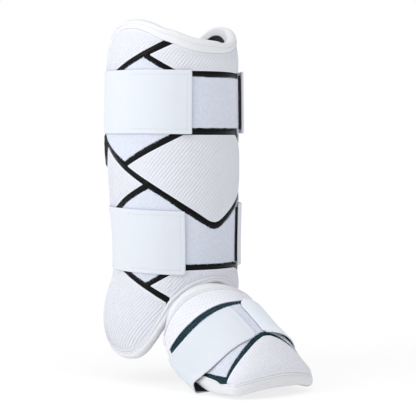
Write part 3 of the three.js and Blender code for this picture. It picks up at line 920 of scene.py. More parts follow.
def new_tree(name, inputs):
    """A geometry tree with a Material input and named inputs, and its input node."""
    tree = bpy.data.node_groups.new(name, "GeometryNodeTree")
    tree.interface.new_socket("Geometry", in_out="INPUT", socket_type="NodeSocketGeometry")
    tree.interface.new_socket("Geometry", in_out="OUTPUT", socket_type="NodeSocketGeometry")
    for key, kind in inputs.items():
        tree.interface.new_socket(key, in_out="INPUT", socket_type=SOCKETS[kind])
    tree.interface.new_socket("Material", in_out="INPUT", socket_type="NodeSocketMaterial")
    return tree, tree.nodes.new("NodeGroupInput")


def end_tree(tree, start, *parts):
    """Joins the parts, realizes their instances, sets the material and ends the tree."""
    joined = wire(tree, "GeometryNodeJoinGeometry")
    for part in parts:
        fill(tree, joined.inputs[0], part)
    realized = wire(tree, "GeometryNodeRealizeInstances", Geometry=joined)
    smooth = wire(tree, "GeometryNodeSetShadeSmooth", Geometry=realized)
    dressed = wire(tree, "GeometryNodeSetMaterial", Geometry=smooth, Material=start.outputs["Material"])
    wire(tree, "NodeGroupOutput", Geometry=dressed)
    return tree


def baked(piece, tree, **inputs):
    """The piece with a tree's result as its plain mesh."""
    modifier = piece.modifiers.new(tree.name, "NODES")
    modifier.node_group = tree
    sockets = {s.name: s.identifier for s in tree.interface.items_tree if s.in_out == "INPUT"}
    for key, value in inputs.items():
        modifier[sockets[key.replace("_", " ")]] = value
    bpy.context.view_layer.update()
    evaluated = piece.evaluated_get(bpy.context.evaluated_depsgraph_get())
    mesh = bpy.data.meshes.new_from_object(evaluated)
    mesh.name = piece.name
    piece.modifiers.remove(modifier)
    piece.data = mesh
    return piece


def named_value(tree, name, kind="FLOAT"):
    """A value that is stored at the points of a mesh."""
    node = wire(tree, "GeometryNodeInputNamedAttribute", {"data_type": kind}, Name=name)
    return node.outputs["Attribute"]


def calculate(tree, operation, *values):
    """A Math node's result."""
    node = wire(tree, "ShaderNodeMath", {"operation": operation})
    for socket, value in zip(node.inputs, values):
        fill(tree, socket, value)
    return node.outputs[0]


def eased(tree, value, start, end):
    """A Map Range node that eases from 0 to 1."""
    node = wire(tree, "ShaderNodeMapRange", {"interpolation_type": "SMOOTHSTEP"}, Value=value)
    node.inputs["From Min"].default_value = start
    node.inputs["From Max"].default_value = end
    return node.outputs["Result"]


def shape_of(tree, source):
    """The geometry of another object."""
    return wire(tree, "GeometryNodeObjectInfo", Object=source).outputs["Geometry"]


def even_points(tree, shape, distance):
    """Points at even distances along the lines of a mesh."""
    curves = wire(tree, "GeometryNodeMeshToCurve", Mesh=shape)
    return wire(tree, "GeometryNodeResampleCurve", {"mode": "LENGTH"}, Curve=curves, Length=distance)


def turned_to(tree, direction):
    """A turn that points an instance's own Z axis in a direction."""
    return wire(tree, "FunctionNodeAlignRotationToVector", {"axis": "Z"}, Vector=direction)


def instances(tree, points, instance, rotation, scale):
    """One instance at each point."""
    kind = "GeometryNodeInstanceOnPoints"
    return wire(tree, kind, Points=points, Instance=instance, Rotation=rotation, Scale=scale)


def rib_tree():
    """Half-round ribs along the lines of another object, joined to the panel that they stand on."""
    tree, start = new_tree("Ribs", {"Rib lines": "object", "Width": float, "Height": float})
    curves = wire(tree, "GeometryNodeMeshToCurve", Mesh=shape_of(tree, start.outputs["Rib lines"]))
    out = named_value(tree, "outward", "FLOAT_VECTOR")
    upright = wire(tree, "GeometryNodeSetCurveNormal", {"mode": "FREE"}, Curve=curves, Normal=out)
    arc = wire(tree, "GeometryNodeCurveArc", {"mode": "RADIUS"}, Resolution=7, Connect_Center=True)
    arc.inputs["Radius"].default_value = 1.0
    arc.inputs["Start Angle"].default_value = -math.pi / 2
    arc.inputs["Sweep Angle"].default_value = math.pi
    half = calculate(tree, "MULTIPLY", start.outputs["Width"], 0.5)
    size = wire(tree, "ShaderNodeCombineXYZ", X=start.outputs["Height"], Y=half, Z=1.0)
    section = wire(tree, "GeometryNodeTransform", Geometry=arc, Scale=size)
    ribs = wire(tree, "GeometryNodeCurveToMesh", Curve=upright, Profile_Curve=section, Fill_Caps=True)
    fill(tree, ribs.inputs["Scale"], named_value(tree, "taper"))
    return end_tree(tree, start, start, ribs)


def dimple_tree():
    """Dimples in staggered columns, pressed into a panel inside its border."""
    tree, start = new_tree("Dimples", {"Pitch": float, "Depth": float, "Border": float})
    place = wire(tree, "ShaderNodeSeparateXYZ", Vector=named_value(tree, "lattice", "FLOAT_VECTOR"))
    turn = calculate(tree, "DIVIDE", math.pi, start.outputs["Pitch"])
    steep = calculate(tree, "MULTIPLY", turn, DIMPLE_STEEPNESS)
    across = calculate(tree, "COSINE", calculate(tree, "MULTIPLY", place.outputs["X"], turn))
    along = calculate(tree, "COSINE", calculate(tree, "MULTIPLY", place.outputs["Y"], steep))
    hollow = eased(tree, calculate(tree, "MULTIPLY", across, along), *DIMPLE_RIM)
    inside = calculate(tree, "SUBTRACT", place.outputs["Z"], start.outputs["Border"])
    hollow = calculate(tree, "MULTIPLY", hollow, eased(tree, inside, 0.0, DIMPLE_FADE))
    # The dimple share is also stored for the material, which paints shade inside the dimples
    kind = "GeometryNodeStoreNamedAttribute"
    settings = {"data_type": "FLOAT", "domain": "POINT"}
    stored = wire(tree, kind, settings, Geometry=start, Name="hollow", Value=hollow)
    push = calculate(tree, "MULTIPLY", named_value(tree, "hollow"), start.outputs["Depth"])
    push = calculate(tree, "MULTIPLY", push, -1.0)
    normal = wire(tree, "GeometryNodeInputNormal")
    offset = wire(tree, "ShaderNodeVectorMath", {"operation": "SCALE"}, Vector=normal, Scale=push)
    moved = wire(tree, "GeometryNodeSetPosition", Geometry=stored, Offset=offset)
    return end_tree(tree, start, moved)


def stitch_tree():
    """A thread's stitches along seam lines."""
    tree, start = new_tree("Stitches", {"Pitch": float, "Stitch": float, "Thickness": float})
    points = even_points(tree, start, start.outputs["Pitch"])
    ball = wire(tree, "GeometryNodeMeshUVSphere", Segments=6, Rings=5, Radius=0.5)
    thick = start.outputs["Thickness"]
    size = wire(tree, "ShaderNodeCombineXYZ", X=thick, Y=thick, Z=start.outputs["Stitch"])
    turned = turned_to(tree, wire(tree, "GeometryNodeInputTangent"))
    return end_tree(tree, start, instances(tree, points, ball, turned, size))


def fuzz_tree():
    """Loose bent fibres on the brushed face of a cloth and along its cut edge."""
    inputs = {"Cut edge": "object", "Fibre length": float, "Spacing": float, "Density": float, "Seed": int}
    tree, start = new_tree("Fuzz", inputs)
    seed = start.outputs["Seed"]
    bend = wire(tree, "GeometryNodeCurveQuadraticBezier", Resolution=3)
    for key, place in (("Start", (0, 0, -0.1)), ("Middle", (0, 0, 0.6)), ("End", (0.5, 0, 0.9))):
        bend.inputs[key].default_value = place
    thin = wire(tree, "GeometryNodeCurvePrimitiveCircle", {"mode": "RADIUS"}, Resolution=3, Radius=0.07)
    fibre = wire(tree, "GeometryNodeCurveToMesh", Curve=bend, Profile_Curve=thin, Fill_Caps=True)
    tilt = wire(tree, "FunctionNodeRandomValue", {"data_type": "FLOAT_VECTOR"}, Seed=seed)
    tilt.inputs["Min"].default_value = (-0.7, -0.7, 0)
    tilt.inputs["Max"].default_value = (0.7, 0.7, 2 * math.pi)
    tilt = wire(tree, "FunctionNodeEulerToRotation", Euler=tilt)
    size = wire(tree, "FunctionNodeRandomValue", {"data_type": "FLOAT"}, Min_001=0.5, Max_001=1.3, Seed=seed)
    size = calculate(tree, "MULTIPLY", size.outputs[1], start.outputs["Fibre length"])
    face = wire(
        tree,
        "GeometryNodeDistributePointsOnFaces",
        Mesh=start,
        Density=start.outputs["Density"],
        Seed=seed,
        Selection=named_value(tree, "brushed"),
    )
    edge = even_points(tree, shape_of(tree, start.outputs["Cut edge"]), start.outputs["Spacing"])
    lean = turned_to(tree, named_value(tree, "lean", "FLOAT_VECTOR"))
    fibres = []
    for points, turned in ((face.outputs["Points"], face.outputs["Rotation"]), (edge, lean)):
        local = {"rotation_space": "LOCAL"}
        turned = wire(tree, "FunctionNodeRotateRotation", local, Rotation=turned, Rotate_By=tilt)
        fibres.append(instances(tree, points, fibre, turned, size))
    return end_tree(tree, start, start, *fibres)


def hook_tree():
    """Small hooks that stand on the points of another object, joined to their tape."""
    tree, start = new_tree("Hooks", {"Seats": "object", "Hook height": float})
    hook = wire(tree, "GeometryNodeMeshCone", Vertices=6, Radius_Top=0.45, Radius_Bottom=0.22, Depth=1.0)
    turned = turned_to(tree, named_value(tree, "outward", "FLOAT_VECTOR"))
    seats = shape_of(tree, start.outputs["Seats"])
    return end_tree(tree, start, start, instances(tree, seats, hook, turned, start.outputs["Hook height"]))


# Materials

def new_material(name, roughness, sheen=0.0, specular=0.5):
    """A material, its tree and its shader."""
    material = bpy.data.materials.new(name)
    material.use_nodes = True
    tree = material.node_tree
    shader = tree.nodes["Principled BSDF"]
    shader.inputs["Roughness"].default_value = roughness
    shader.inputs["Specular IOR Level"].default_value = specular
    shader.inputs["Sheen Weight"].default_value = sheen
    shader.inputs["Sheen Roughness"].default_value = 0.5
    return material, tree, shader


def texture(tree, kind, **inputs):
    """A texture that stays with the piece."""
    place = wire(tree, "ShaderNodeTexCoord")
    return wire(tree, f"ShaderNodeTex{kind}", Vector=place.outputs["Object"], **inputs)


def cloudy(tree, scale, detail=2.0):
    """A noise that stays with the piece."""
    return texture(tree, "Noise", Scale=scale, Detail=detail).outputs["Fac"]


def stored_share(tree, name):
    """A share that is stored at the points of a mesh."""
    return wire(tree, "ShaderNodeAttribute", {"attribute_name": name}).outputs["Fac"]


def tint(tree, factor, first, second):
    """A colour between two others, each a plain colour or a socket."""
    mix = wire(tree, "ShaderNodeMix", {"data_type": "RGBA"})
    fill(tree, mix.inputs["Factor"], factor)
    for socket, shade in zip((mix.inputs[6], mix.inputs[7]), (first, second)):
        fill(tree, socket, shade if isinstance(shade, bpy.types.NodeSocket) else (*shade, 1))
    return mix.outputs[2]


def shaded(base, amount):
    """A lighter or darker shade of a colour."""
    return tuple(min(1.0, part * amount) for part in base)


def paint(tree, shader, factor, base, first, second):
    """Colours a shader between two shades of its base colour."""
    fill(tree, shader.inputs["Base Color"], tint(tree, factor, shaded(base, first), shaded(base, second)))


def bump(tree, shader, height, strength, distance):
    """Puts a fine bump on a shader."""
    node = wire(tree, "ShaderNodeBump", Height=height, Strength=strength, Distance=distance)
    fill(tree, shader.inputs["Normal"], node)


def skin_material(name, base, roughness):
    """Welded skin or binding: a soft uneven white with a fine leather grain, and painted shade between the
    ribs.
    """
    material, tree, shader = new_material(name, roughness)
    uneven = cloudy(tree, 60.0)
    white = tint(tree, uneven, shaded(base, 0.97), shaded(base, 1.03))
    # Painted shade: the panel's face between the ribs is painted darker by the groove share
    darker = tint(tree, stored_share(tree, "groove"), white, shaded(base, 0.92))
    fill(tree, shader.inputs["Base Color"], darker)
    worn = wire(tree, "ShaderNodeMapRange", Value=uneven, To_Min=roughness - 0.08, To_Max=roughness + 0.08)
    fill(tree, shader.inputs["Roughness"], worn)
    bump(tree, shader, texture(tree, "Voronoi", Scale=1400.0).outputs["Distance"], 0.25, 0.0002)
    return material


def mesh_material(name, base):
    """Airy white mesh, with painted shade greying the inside of its dimples."""
    material, tree, shader = new_material(name, 0.7, sheen=0.1)
    # Painted shade: greyer where the stored hollow share marks the dimples
    paint(tree, shader, stored_share(tree, "hollow"), base, 1, 0.86)
    bump(tree, shader, cloudy(tree, 1500.0), 0.35, 0.0002)
    return material


def loop_material(name, base):
    """Brushed loop cloth: matt, mottled and soft."""
    material, tree, shader = new_material(name, 0.95, sheen=0.25, specular=0.2)
    paint(tree, shader, cloudy(tree, 420.0, 3.0), base, 0.88, 1.12)
    bump(tree, shader, cloudy(tree, 1800.0, 3.0), 0.6, 0.0005)
    return material


def elastic_material(name, base):
    """Woven elastic: fine ribs along the strap crossed by finer yarns, on the strap's own map."""
    material, tree, shader = new_material(name, 0.85, sheen=0.15, specular=0.3)
    cloth = wire(tree, "ShaderNodeUVMap", {"uv_map": "cloth"})
    waves = []
    for direction, period in (("Y", 1.3), ("X", 1.9)):
        wave = wire(tree, "ShaderNodeTexWave", {"bands_direction": direction}, Vector=cloth, Distortion=0.4)
        wave.inputs["Scale"].default_value = math.pi / 10 / period
        wave.inputs["Detail Scale"].default_value = 0.5
        waves.append(wave.outputs["Fac"])
    weave = calculate(tree, "MULTIPLY_ADD", waves[0], 0.4, calculate(tree, "MULTIPLY", waves[1], 0.6))
    patchy = calculate(tree, "MULTIPLY", cloudy(tree, 90.0), 0.4)
    pattern = calculate(tree, "MULTIPLY_ADD", weave, 0.6, patchy)
    woven = tint(tree, pattern, shaded(base, 0.95), shaded(base, 1.04))
    # Painted light: the foot strap's far end is painted whiter
    woven = tint(tree, stored_share(tree, "whiter"), woven, shaded(base, 1.2))
    woven = tint(tree, stored_share(tree, "backing"), woven, BACKING)
    fill(tree, shader.inputs["Base Color"], woven)
    bump(tree, shader, weave, 0.25, 0.0002)
    return material


def knit_material(name, base, scale):
    """Dark knitted cloth with a dull shine and small lighter loops."""
    material, tree, shader = new_material(name, 0.33, specular=0.11)
    loops = texture(tree, "Voronoi", Scale=scale).outputs["Distance"]
    paint(tree, shader, eased(tree, loops, 0.1, 0.7), base, 1.7, 0.6)
    bump(tree, shader, loops, 0.35, 0.0004)
    return material


def hook_material(name, base):
    """Moulded black hooks."""
    material, tree, shader = new_material(name, 0.6, specular=0.2)
    uneven = cloudy(tree, 700.0)
    paint(tree, shader, uneven, base, 0.7, 1.6)
    bump(tree, shader, uneven, 0.3, 0.0002)
    return material


def thread_material(name, base):
    """Twisted sewing thread."""
    material, tree, shader = new_material(name, 0.6, sheen=0.2)
    twist = texture(tree, "Wave", Scale=500.0, Distortion=2.0).outputs["Fac"]
    paint(tree, shader, twist, base, 0.85, 1.1)
    bump(tree, shader, twist, 0.3, 0.0001)
    return material


# Maker, colour and further values of the materials
FINISHES = {
    "ribbed_skin": (skin_material, "panel", 0.5),
    "binding_skin": (skin_material, "binding", 0.42),
    "foot_mesh": (mesh_material, "mesh_panel"),
    "loop_cloth": (loop_material, "loop"),
    "woven_elastic": (elastic_material, "elastic"),
    "shin_knit": (knit_material, "shin_cloth", 1100.0),
    "foot_knit": (knit_material, "foot_cloth", 900.0),
    "hook_tape": (hook_material, "hook"),
    "sewing_thread": (thread_material, "thread"),
}


def finish_of(name):
    """The material of that name, made the first time that it is asked for."""
    found = bpy.data.materials.get(name)
    if found is not None:
        return found
    maker, colour_key, *rest = FINISHES[name]
    return maker(name, getattr(bpy.context.scene.leg_guard_colours, colour_key), *rest)


# Padding

def channel(outlines, angle, at):
    """Millimetres from a point out to the nearest panel, less than 0 under one."""
    return -np.max([outline.inset(angle, at) for outline in outlines], axis=0)


def cloth_over_foam(gap, firm, most):
    """Height of the padded cloth over the skin line: low under the panels, swelling between them."""
    swell = CHANNEL_SWELL * (1 - np.exp(-np.maximum(gap, 0) / CHANNEL_REACH))
    swell = swell + WIDE_SWELL * np.maximum(gap - NARROW_CHANNEL, 0)
    sunk = (PAD_OUTER - CHANNEL_EDGE) * np.clip(-gap / CHANNEL_UNDER, 0, 1)
    return np.minimum(CHANNEL_EDGE + swell + sunk, most + (PRESSED_SWELL - most) * firm)


def swelled(points, quads, sewn):
    """Where the points of a closed cloth shell go when it is blown up between its sewn points."""
    mesh, _ = mesh_of("swelling", points, quads)
    cloth_object = put("swelling", mesh)
    group = cloth_object.vertex_groups.new(name="sewn")
    group.add(np.flatnonzero(sewn).tolist(), 1.0, "REPLACE")
    cloth = cloth_object.modifiers.new("Cloth", "CLOTH")
    for key, value in LINING_CLOTH.items():
        setattr(cloth.settings, key, value)
    cloth.settings.effector_weights.gravity = 0
    cloth.collision_settings.use_collision = False
    cloth.point_cache.frame_start = 1
    cloth.point_cache.frame_end = LINING_FRAMES
    scene = bpy.context.scene
    for step in range(1, LINING_FRAMES + 1):
        scene.frame_set(step)
    evaluated = cloth_object.evaluated_get(bpy.context.evaluated_depsgraph_get())
    places = np.zeros(len(mesh.vertices) * 3, np.float32)
    evaluated.data.vertices.foreach_get("co", places)
    bpy.data.objects.remove(cloth_object)
    bpy.data.meshes.remove(mesh)
    scene.frame_set(1)
    return places.reshape(-1, 3) / MILLIMETRE + np.array([0, 0, LEG_CENTRE])


def wall_grid(low, high, angles, shares):
    """Angles and places of a wall's points between its low and its high edge."""
    at = low(angles)[:, None] + (high(angles) - low(angles))[:, None] * shares
    return np.broadcast_to(angles[:, None], at.shape), at


def lining_swell(surface, outlines, low, high, angles, shares, most):
    """Millimetres that the lining swells inwards between the seams behind the channels."""
    turn, at = wall_grid(low, high, angles, shares)
    outer = surface.point(turn, at, PAD_OUTER)
    inner = surface.point(turn, at, PAD_INNER)
    points, quads, _ = shell(outer, inner)
    seam = channel(outlines, turn, at) > -SEAM_BEHIND
    seam[[0, -1]] = True
    seam[:, [0, -1]] = True
    sewn = np.concatenate([np.ones(turn.size, bool), seam.ravel()])
    places = swelled(points, quads, sewn)[turn.size:].reshape(inner.shape)
    inwards = inner - surface.point(turn, at, PAD_INNER + 1)
    rise = np.clip(((places - inner) * inwards).sum(-1), 0, most)
    padded = np.pad(rise, 1, mode="edge")
    return (padded[:-2, 1:-1] + padded[2:, 1:-1] + padded[1:-1, :-2] + padded[1:-1, 2:] + 4 * rise) / 8


def resampled(values, rows, columns, fine_rows, fine_columns):
    """Values of a coarse grid read on a finer one."""
    by_column = np.stack([np.interp(fine_columns, columns, row) for row in values])
    return np.stack([np.interp(fine_rows, rows, line) for line in by_column.T], -1)


def padded_shell(name, surface, outlines, low, high, angles, shares, round_ends, material):
    """A padded wall: cloth that swells in the channels outside, and a quilted lining inside."""
    sizes = bpy.context.scene.leg_guard_sizes
    turn, at = wall_grid(low, high, angles, shares)
    firm = pressed(surface, turn, at)
    outer = cloth_over_foam(channel(outlines, turn, at), firm, MOST_SWELL[material])
    inner = np.full(at.shape, PAD_INNER)
    coarse_angles = np.linspace(angles[0], angles[-1], LINING_POINTS)
    coarse_shares = np.linspace(0, 1, LINING_POINTS)
    most = sizes.lining_swell / MILLIMETRE
    swell = lining_swell(surface, outlines, low, high, coarse_angles, coarse_shares, most)
    inner = inner - resampled(swell, coarse_angles, coarse_shares, angles, shares)
    if round_ends:
        from_back = (angles[-1] - np.abs(angles)) * surface.across
        full = thinned(from_back, *SHELL_END)[:, None]
        outer = PAD_MIDDLE + (outer - PAD_MIDDLE) * full
        inner = PAD_MIDDLE + (inner - PAD_MIDDLE) * full
    points, quads, wide = shell(surface.point(turn, at, outer), surface.point(turn, at, inner))
    mesh, _ = mesh_of(name, points, quads, wide)
    return put(name, mesh, finish_of(material))


class LEGGUARD_OT_pads(bpy.types.Operator):
    """Builds the black padded walls of the shin shell and the foot guard"""

    bl_idname = "leg_guard.pads"
    bl_label = "Padded walls"

    def execute(self, context):
        shin = padded_shell(
            "padded_shin_shell",
            SHIN_SKIN,
            [*RIBBED.values(), *SHIN_LOOPS.values()],
            bottom_seam,
            top_seam,
            spread(-BACK_EDGE, BACK_EDGE, SHIN_STEP, SHELL_LIPS / SHIN_SKIN.across),
            np.linspace(0, 1, SHIN_ROWS),
            True,
            "shin_knit",
        )
        finish_piece(shin, "pad", "shin_pad")
        foot = padded_shell(
            "padded_foot_shell",
            FOOT_SKIN,
            [*MESHED.values(), *FOOT_LOOP_CLOTHS.values()],
            toe_seam,
            collar_seam,
            np.linspace(-90, 90, FOOT_COLUMNS),
            np.linspace(0, 1, FOOT_ROWS),
            False,
            "foot_knit",
        )
        finish_piece(foot, "pad", "foot_pad")
        return {"FINISHED"}


# Edge rolls

def closed_curve(points, count):
    """Points along a smooth closed curve through the given ones."""
    points = np.array(points, float)
    size = len(points)
    at = np.linspace(0, size, count, endpoint=False)
    row = at.astype(int)
    part = (at - row)[:, None]
    before, start, end, after = (points[(row + shift) % size] for shift in (-1, 0, 1, 2))
    leave = (end - before) / 2
    arrive = (after - start) / 2
    rise = part * part * (3 - 2 * part)
    return start + (end - start) * rise + leave * part * (1 - part) ** 2 - arrive * part * part * (1 - part)


def tube(rings, closed):
    """Points and faces of a tube through rings of points, with its ends shut unless it closes on itself."""
    count, size = rings.shape[:2]
    grid = np.arange(count * size).reshape(count, size)
    grid = np.concatenate([grid, grid[:, :1]], 1)
    if closed:
        grid = np.concatenate([grid, grid[:1]], 0)
    quads = cells(grid)
    ends = [] if closed else [grid[0, :-1].tolist(), grid[-1, -2::-1].tolist()]
    points = rings.reshape(-1, 3)
    a, b, c = (points[quads[:, corner]] for corner in (0, 1, 2))
    if np.einsum("ij,ij->i", a, np.cross(b, c)).sum() < 0:
        quads = quads[:, ::-1]
        ends = [end[::-1] for end in ends]
    return points, quads, ends


def leaning(share_of_width):
    """How much of its tuck a roll takes up across its width: none at the seam and all at the edge."""
    return smooth_step((share_of_width - LEAN_START) / LEAN_RUN)


def rounded_along(rings, section):
    """Rounds the body of a roll off at the corners of its closed path, while its seam stays."""
    count = len(rings)
    away = np.minimum(np.arange(count), count - np.arange(count))
    weight = np.exp(-0.5 * (away / CORNER_STATIONS) ** 2)
    spectrum = np.fft.rfft(weight / weight.sum())[:, None, None]
    soft = np.fft.irfft(np.fft.rfft(rings, axis=0) * spectrum, count, axis=0)
    return rings + (soft - rings) * smooth_step((section[..., :1] - BODY_START) / BODY_RUN)


def roll_piece(name, surface, seam, edge, profile, closed, full, tuck=0.0):
    """A bound roll between its seam and its edge, with its thickness and its lean at each station."""
    section = closed_curve(profile, ROLL_POINTS)
    middle = section.mean(0)
    section = middle + (section - middle) * np.reshape(full, (-1, 1, 1))
    at = seam[:, None] + (edge - seam)[:, None] * section[..., :1]
    sunk = np.reshape(tuck, (-1, 1)) * leaning(section[..., 0])
    rings = surface.point(at[..., 0], at[..., 1], section[..., 1] - sunk)
    if closed:
        rings = rounded_along(rings, section)
    mesh, _ = mesh_of(name, *tube(rings, closed))
    return put(name, mesh, finish_of("binding_skin"))


def shin_seam(seam_height, angles, width, outwards):
    """The two edges of a roll along one of the shin shell's seams, square to the seam."""
    girth = math.radians(SHIN(LEG_CENTRE)[0])
    before = np.maximum(angles - 1, -BACK_EDGE)
    after = np.minimum(angles + 1, BACK_EDGE)
    run = np.stack([(after - before) * girth, seam_height(after) - seam_height(before)], -1)
    run /= np.linalg.norm(run, axis=-1, keepdims=True)
    square = outwards * np.stack([-run[:, 1] / girth, run[:, 0]], -1)
    seam = np.stack([angles, seam_height(angles)], -1) - square * ROLL_LIP
    tapered = ROLL_END_SHARE + (1 - ROLL_END_SHARE) * smooth_step((BACK_EDGE - np.abs(angles)) / ROLL_TAPER)
    edge = np.stack([angles, seam_height(angles)], -1) + square * (width * tapered)[:, None]
    return seam, edge


def top_roll_width(angles):
    """Width of the top roll, which curls in over both peaks, and further over the far one."""
    return TOP_ROLL - TOP_ROLL_DIP(angles)[0]


def bottom_roll_width(angles):
    """Width of the bottom roll, which reaches down behind the foot guard's collar."""
    return BOTTOM_ROLL_WIDTH(np.abs(angles))[0]


def foot_seam(count):
    """The two edges of the roll round the foot guard: toe rim, far side, collar and near side in turn."""
    lip = ROLL_LIP / FOOT_SKIN.along
    arch = np.linspace(-ARCH_ANGLE, ARCH_ANGLE, ARCH_STATIONS)
    toe = [(angle, toe_seam(angle) + lip, angle, TOE_EDGE(abs(angle))[0]) for angle in arch]
    far_side = [*FOOT_SIDE_ROLL, *FAR_COLLAR_CORNER]
    collar = [
        (angle, collar_seam(angle) - lip, angle, collar_seam(angle) + COLLAR_ROLL(angle)[0])
        for angle in arch[::-1]
    ]
    near_side = [
        (-low, at, -edge, edge_at)
        for low, at, edge, edge_at in reversed([*FOOT_SIDE_ROLL, *NEAR_COLLAR_CORNER])
    ]
    smooth = closed_curve([*toe, *far_side, *collar, *near_side], count)
    return smooth[:, :2], smooth[:, 2:]


def tucked(seam):
    """How far the strap pulls the foot roll's edge in at each station."""
    front, rear = FOOT_STRAP(seam[:, 0])
    inside = np.minimum(seam[:, 1] - front, rear - seam[:, 1]) * FOOT_SKIN.along
    return STRAP_TUCK * smooth_step((inside + TUCK_AHEAD) / TUCK_RUN)


class LEGGUARD_OT_bindings(bpy.types.Operator):
    """Builds the white rolls that bind the edges of the shin shell and the foot guard"""

    bl_idname = "leg_guard.bindings"
    bl_label = "Edge bindings"

    def execute(self, context):
        angles = spread(-BACK_EDGE, BACK_EDGE, ROLL_STEP, ROLL_LIPS / SHIN_SKIN.across)
        full = thinned((BACK_EDGE - np.abs(angles)) * SHIN_SKIN.across, *ROLL_END)
        rolls = {
            "top_binding": (top_seam, top_roll_width(angles), 1, TOP_ROLL_PROFILE),
            "bottom_binding": (bottom_seam, bottom_roll_width(angles), -1, BEAD_ROLL_PROFILE),
        }
        for node, (seam_height, width, outwards, profile) in rolls.items():
            seam, edge = shin_seam(seam_height, angles, width, outwards)
            piece = roll_piece(f"{node}_roll", SHIN_SKIN, seam, edge, profile, False, full)
            finish_piece(piece, "binding", node)
        seam, edge = foot_seam(FOOT_ROLL_STATIONS)
        pulled = tucked(seam)
        piece = roll_piece("foot_binding_roll", FOOT_SKIN, seam, edge, FOOT_ROLL_PROFILE, True, 1.0, pulled)
        finish_piece(piece, "binding", "foot_binding")
        return {"FINISHED"}


# Panels

def panel_places(outline, step, ragged=0.0, seed=0):
    """Angles and places of a panel's points. A ragged edge wanders by up to that many millimetres."""
    along = outline.surface.along
    angles = outline.columns(step)
    low, high = outline.edges(angles)
    wander = np.random.default_rng(seed).uniform(-ragged, ragged, (2, len(angles))) / along
    at = spread(low + wander[0], high + wander[1], step / along, PANEL_LIPS / along)
    return np.broadcast_to(angles[:, None], at.shape), at


def panel_mesh(name, outline, turn, at, relief, stride):
    """A panel's closed mesh, and which of its points each vertex is."""
    surface = outline.surface
    points, quads, wide = shell(surface.point(turn, at, relief), surface.point(turn, at, -SKIN), stride)
    return mesh_of(name, points, quads, wide)


def rib_lines(name, outline, pitch, slope, border, relief):
    """Lines on a panel, inside its border, along which the ribs run."""
    surface = outline.surface
    angles = outline.columns(2.0)
    heights = np.concatenate(outline.edges(angles)) * surface.along
    corners = np.stack([np.tile(angles * surface.across, 2), heights], -1)
    ahead = np.array([math.cos(slope), math.sin(slope)])
    aside = np.array([math.sin(slope), -math.cos(slope)])
    reach = corners @ ahead
    sideways = corners @ aside
    along = np.arange(reach.min(), reach.max(), RIB_STEP)
    lines, outs, tapers = [], [], []
    for offset in np.arange(math.ceil(sideways.min() / pitch), sideways.max() / pitch) * pitch:
        place = offset * aside + along[:, None] * ahead
        turn, at = place[:, 0] / surface.across, place[:, 1] / surface.along
        inside = np.concatenate([[False], outline.inset(turn, at) > border, [False]])
        changes = np.flatnonzero(np.diff(inside.astype(int)))
        for first, last in zip(changes[::2], changes[1::2] - 1):
            if last - first < RIB_LEAST:
                continue
            count = max(4, round((last - first) / RIB_STRIDE))
            steps = np.linspace(first, last, count).round().astype(int)
            steps = np.unique(np.concatenate([[first + RIB_TAPER // 2, last - RIB_TAPER // 2], steps]))
            from_ends = np.minimum(steps - first, last - steps) / RIB_TAPER
            lines.append(surface.point(turn[steps], at[steps], relief(turn[steps], at[steps]) - RIB_SUNK))
            outs.append(outward(surface, turn[steps], at[steps]))
            tapers.append(RIB_TIP + (1 - RIB_TIP) * smooth_step(from_ends))
    return lines_object(name, lines, outward=outs, taper=tapers)


class LEGGUARD_OT_ribbed_panels(bpy.types.Operator):
    """Builds the white shin panels, each with a smooth welded border and slanting ribs inside it"""

    bl_idname = "leg_guard.ribbed_panels"
    bl_label = "Ribbed panels"

    def execute(self, context):
        sizes = context.scene.leg_guard_sizes
        crown = sizes.crown / MILLIMETRE
        border = sizes.border / MILLIMETRE
        pitch = sizes.rib_pitch / MILLIMETRE
        finish = finish_of("ribbed_skin")
        tree = rib_tree()
        for node, outline in RIBBED.items():
            turn, at = panel_places(outline, RIBBED_STEP)

            def relief(angle, height):
                return panel_relief(outline, angle, height, crown, border)

            mesh, used = panel_mesh(f"{node}_skin", outline, turn, at, relief(turn, at), RIBBED_STRIDE)
            # Painted shade: a share that darkens the panel's face between the ribs, inside the border
            groove = (outline.inset(turn, at) - border + GROOVE_SOFT / 2) / GROOVE_SOFT
            groove = smooth_step(groove).ravel()
            point_attribute(mesh, "groove", "FLOAT", np.concatenate([groove, 0 * groove])[used])
            panel = put(f"{node}_skin", mesh, finish)
            lines = rib_lines("rib_lines", outline, pitch, sizes.rib_slope, border, relief)
            ribs = {"Width": sizes.rib_width, "Height": sizes.rib_height}
            baked(panel, tree, Rib_lines=lines, Material=finish, **ribs)
            bpy.data.objects.remove(lines)
            finish_piece(panel, "panel", node)
        return {"FINISHED"}


class LEGGUARD_OT_mesh_panels(bpy.types.Operator):
    """Builds the white foot panels of dimpled mesh"""

    bl_idname = "leg_guard.mesh_panels"
    bl_label = "Mesh panels"

    def execute(self, context):
        sizes = context.scene.leg_guard_sizes
        finish = finish_of("foot_mesh")
        dimples = {"Pitch": sizes.dimple_pitch, "Depth": sizes.dimple_depth, "Border": sizes.border}
        tree = dimple_tree()
        for node, outline in MESHED.items():
            turn, at = panel_places(outline, MESH_STEP)
            relief = panel_relief(outline, turn, at, sizes.crown / MILLIMETRE, sizes.border / MILLIMETRE)
            mesh, used = panel_mesh(f"{node}_skin", outline, turn, at, relief, MESH_STRIDE)
            inset = np.maximum(outline.inset(turn, at), 0)
            lattice = np.stack([turn * FOOT_SKIN.across, at * FOOT_SKIN.along, inset], -1).reshape(-1, 3)
            lattice = np.concatenate([lattice, np.zeros_like(lattice)])[used] * MILLIMETRE
            point_attribute(mesh, "lattice", "FLOAT_VECTOR", lattice)
            panel = put(f"{node}_skin", mesh, finish)
            baked(panel, tree, Material=finish, **dimples)
            finish_piece(panel, "panel", node)
        return {"FINISHED"}


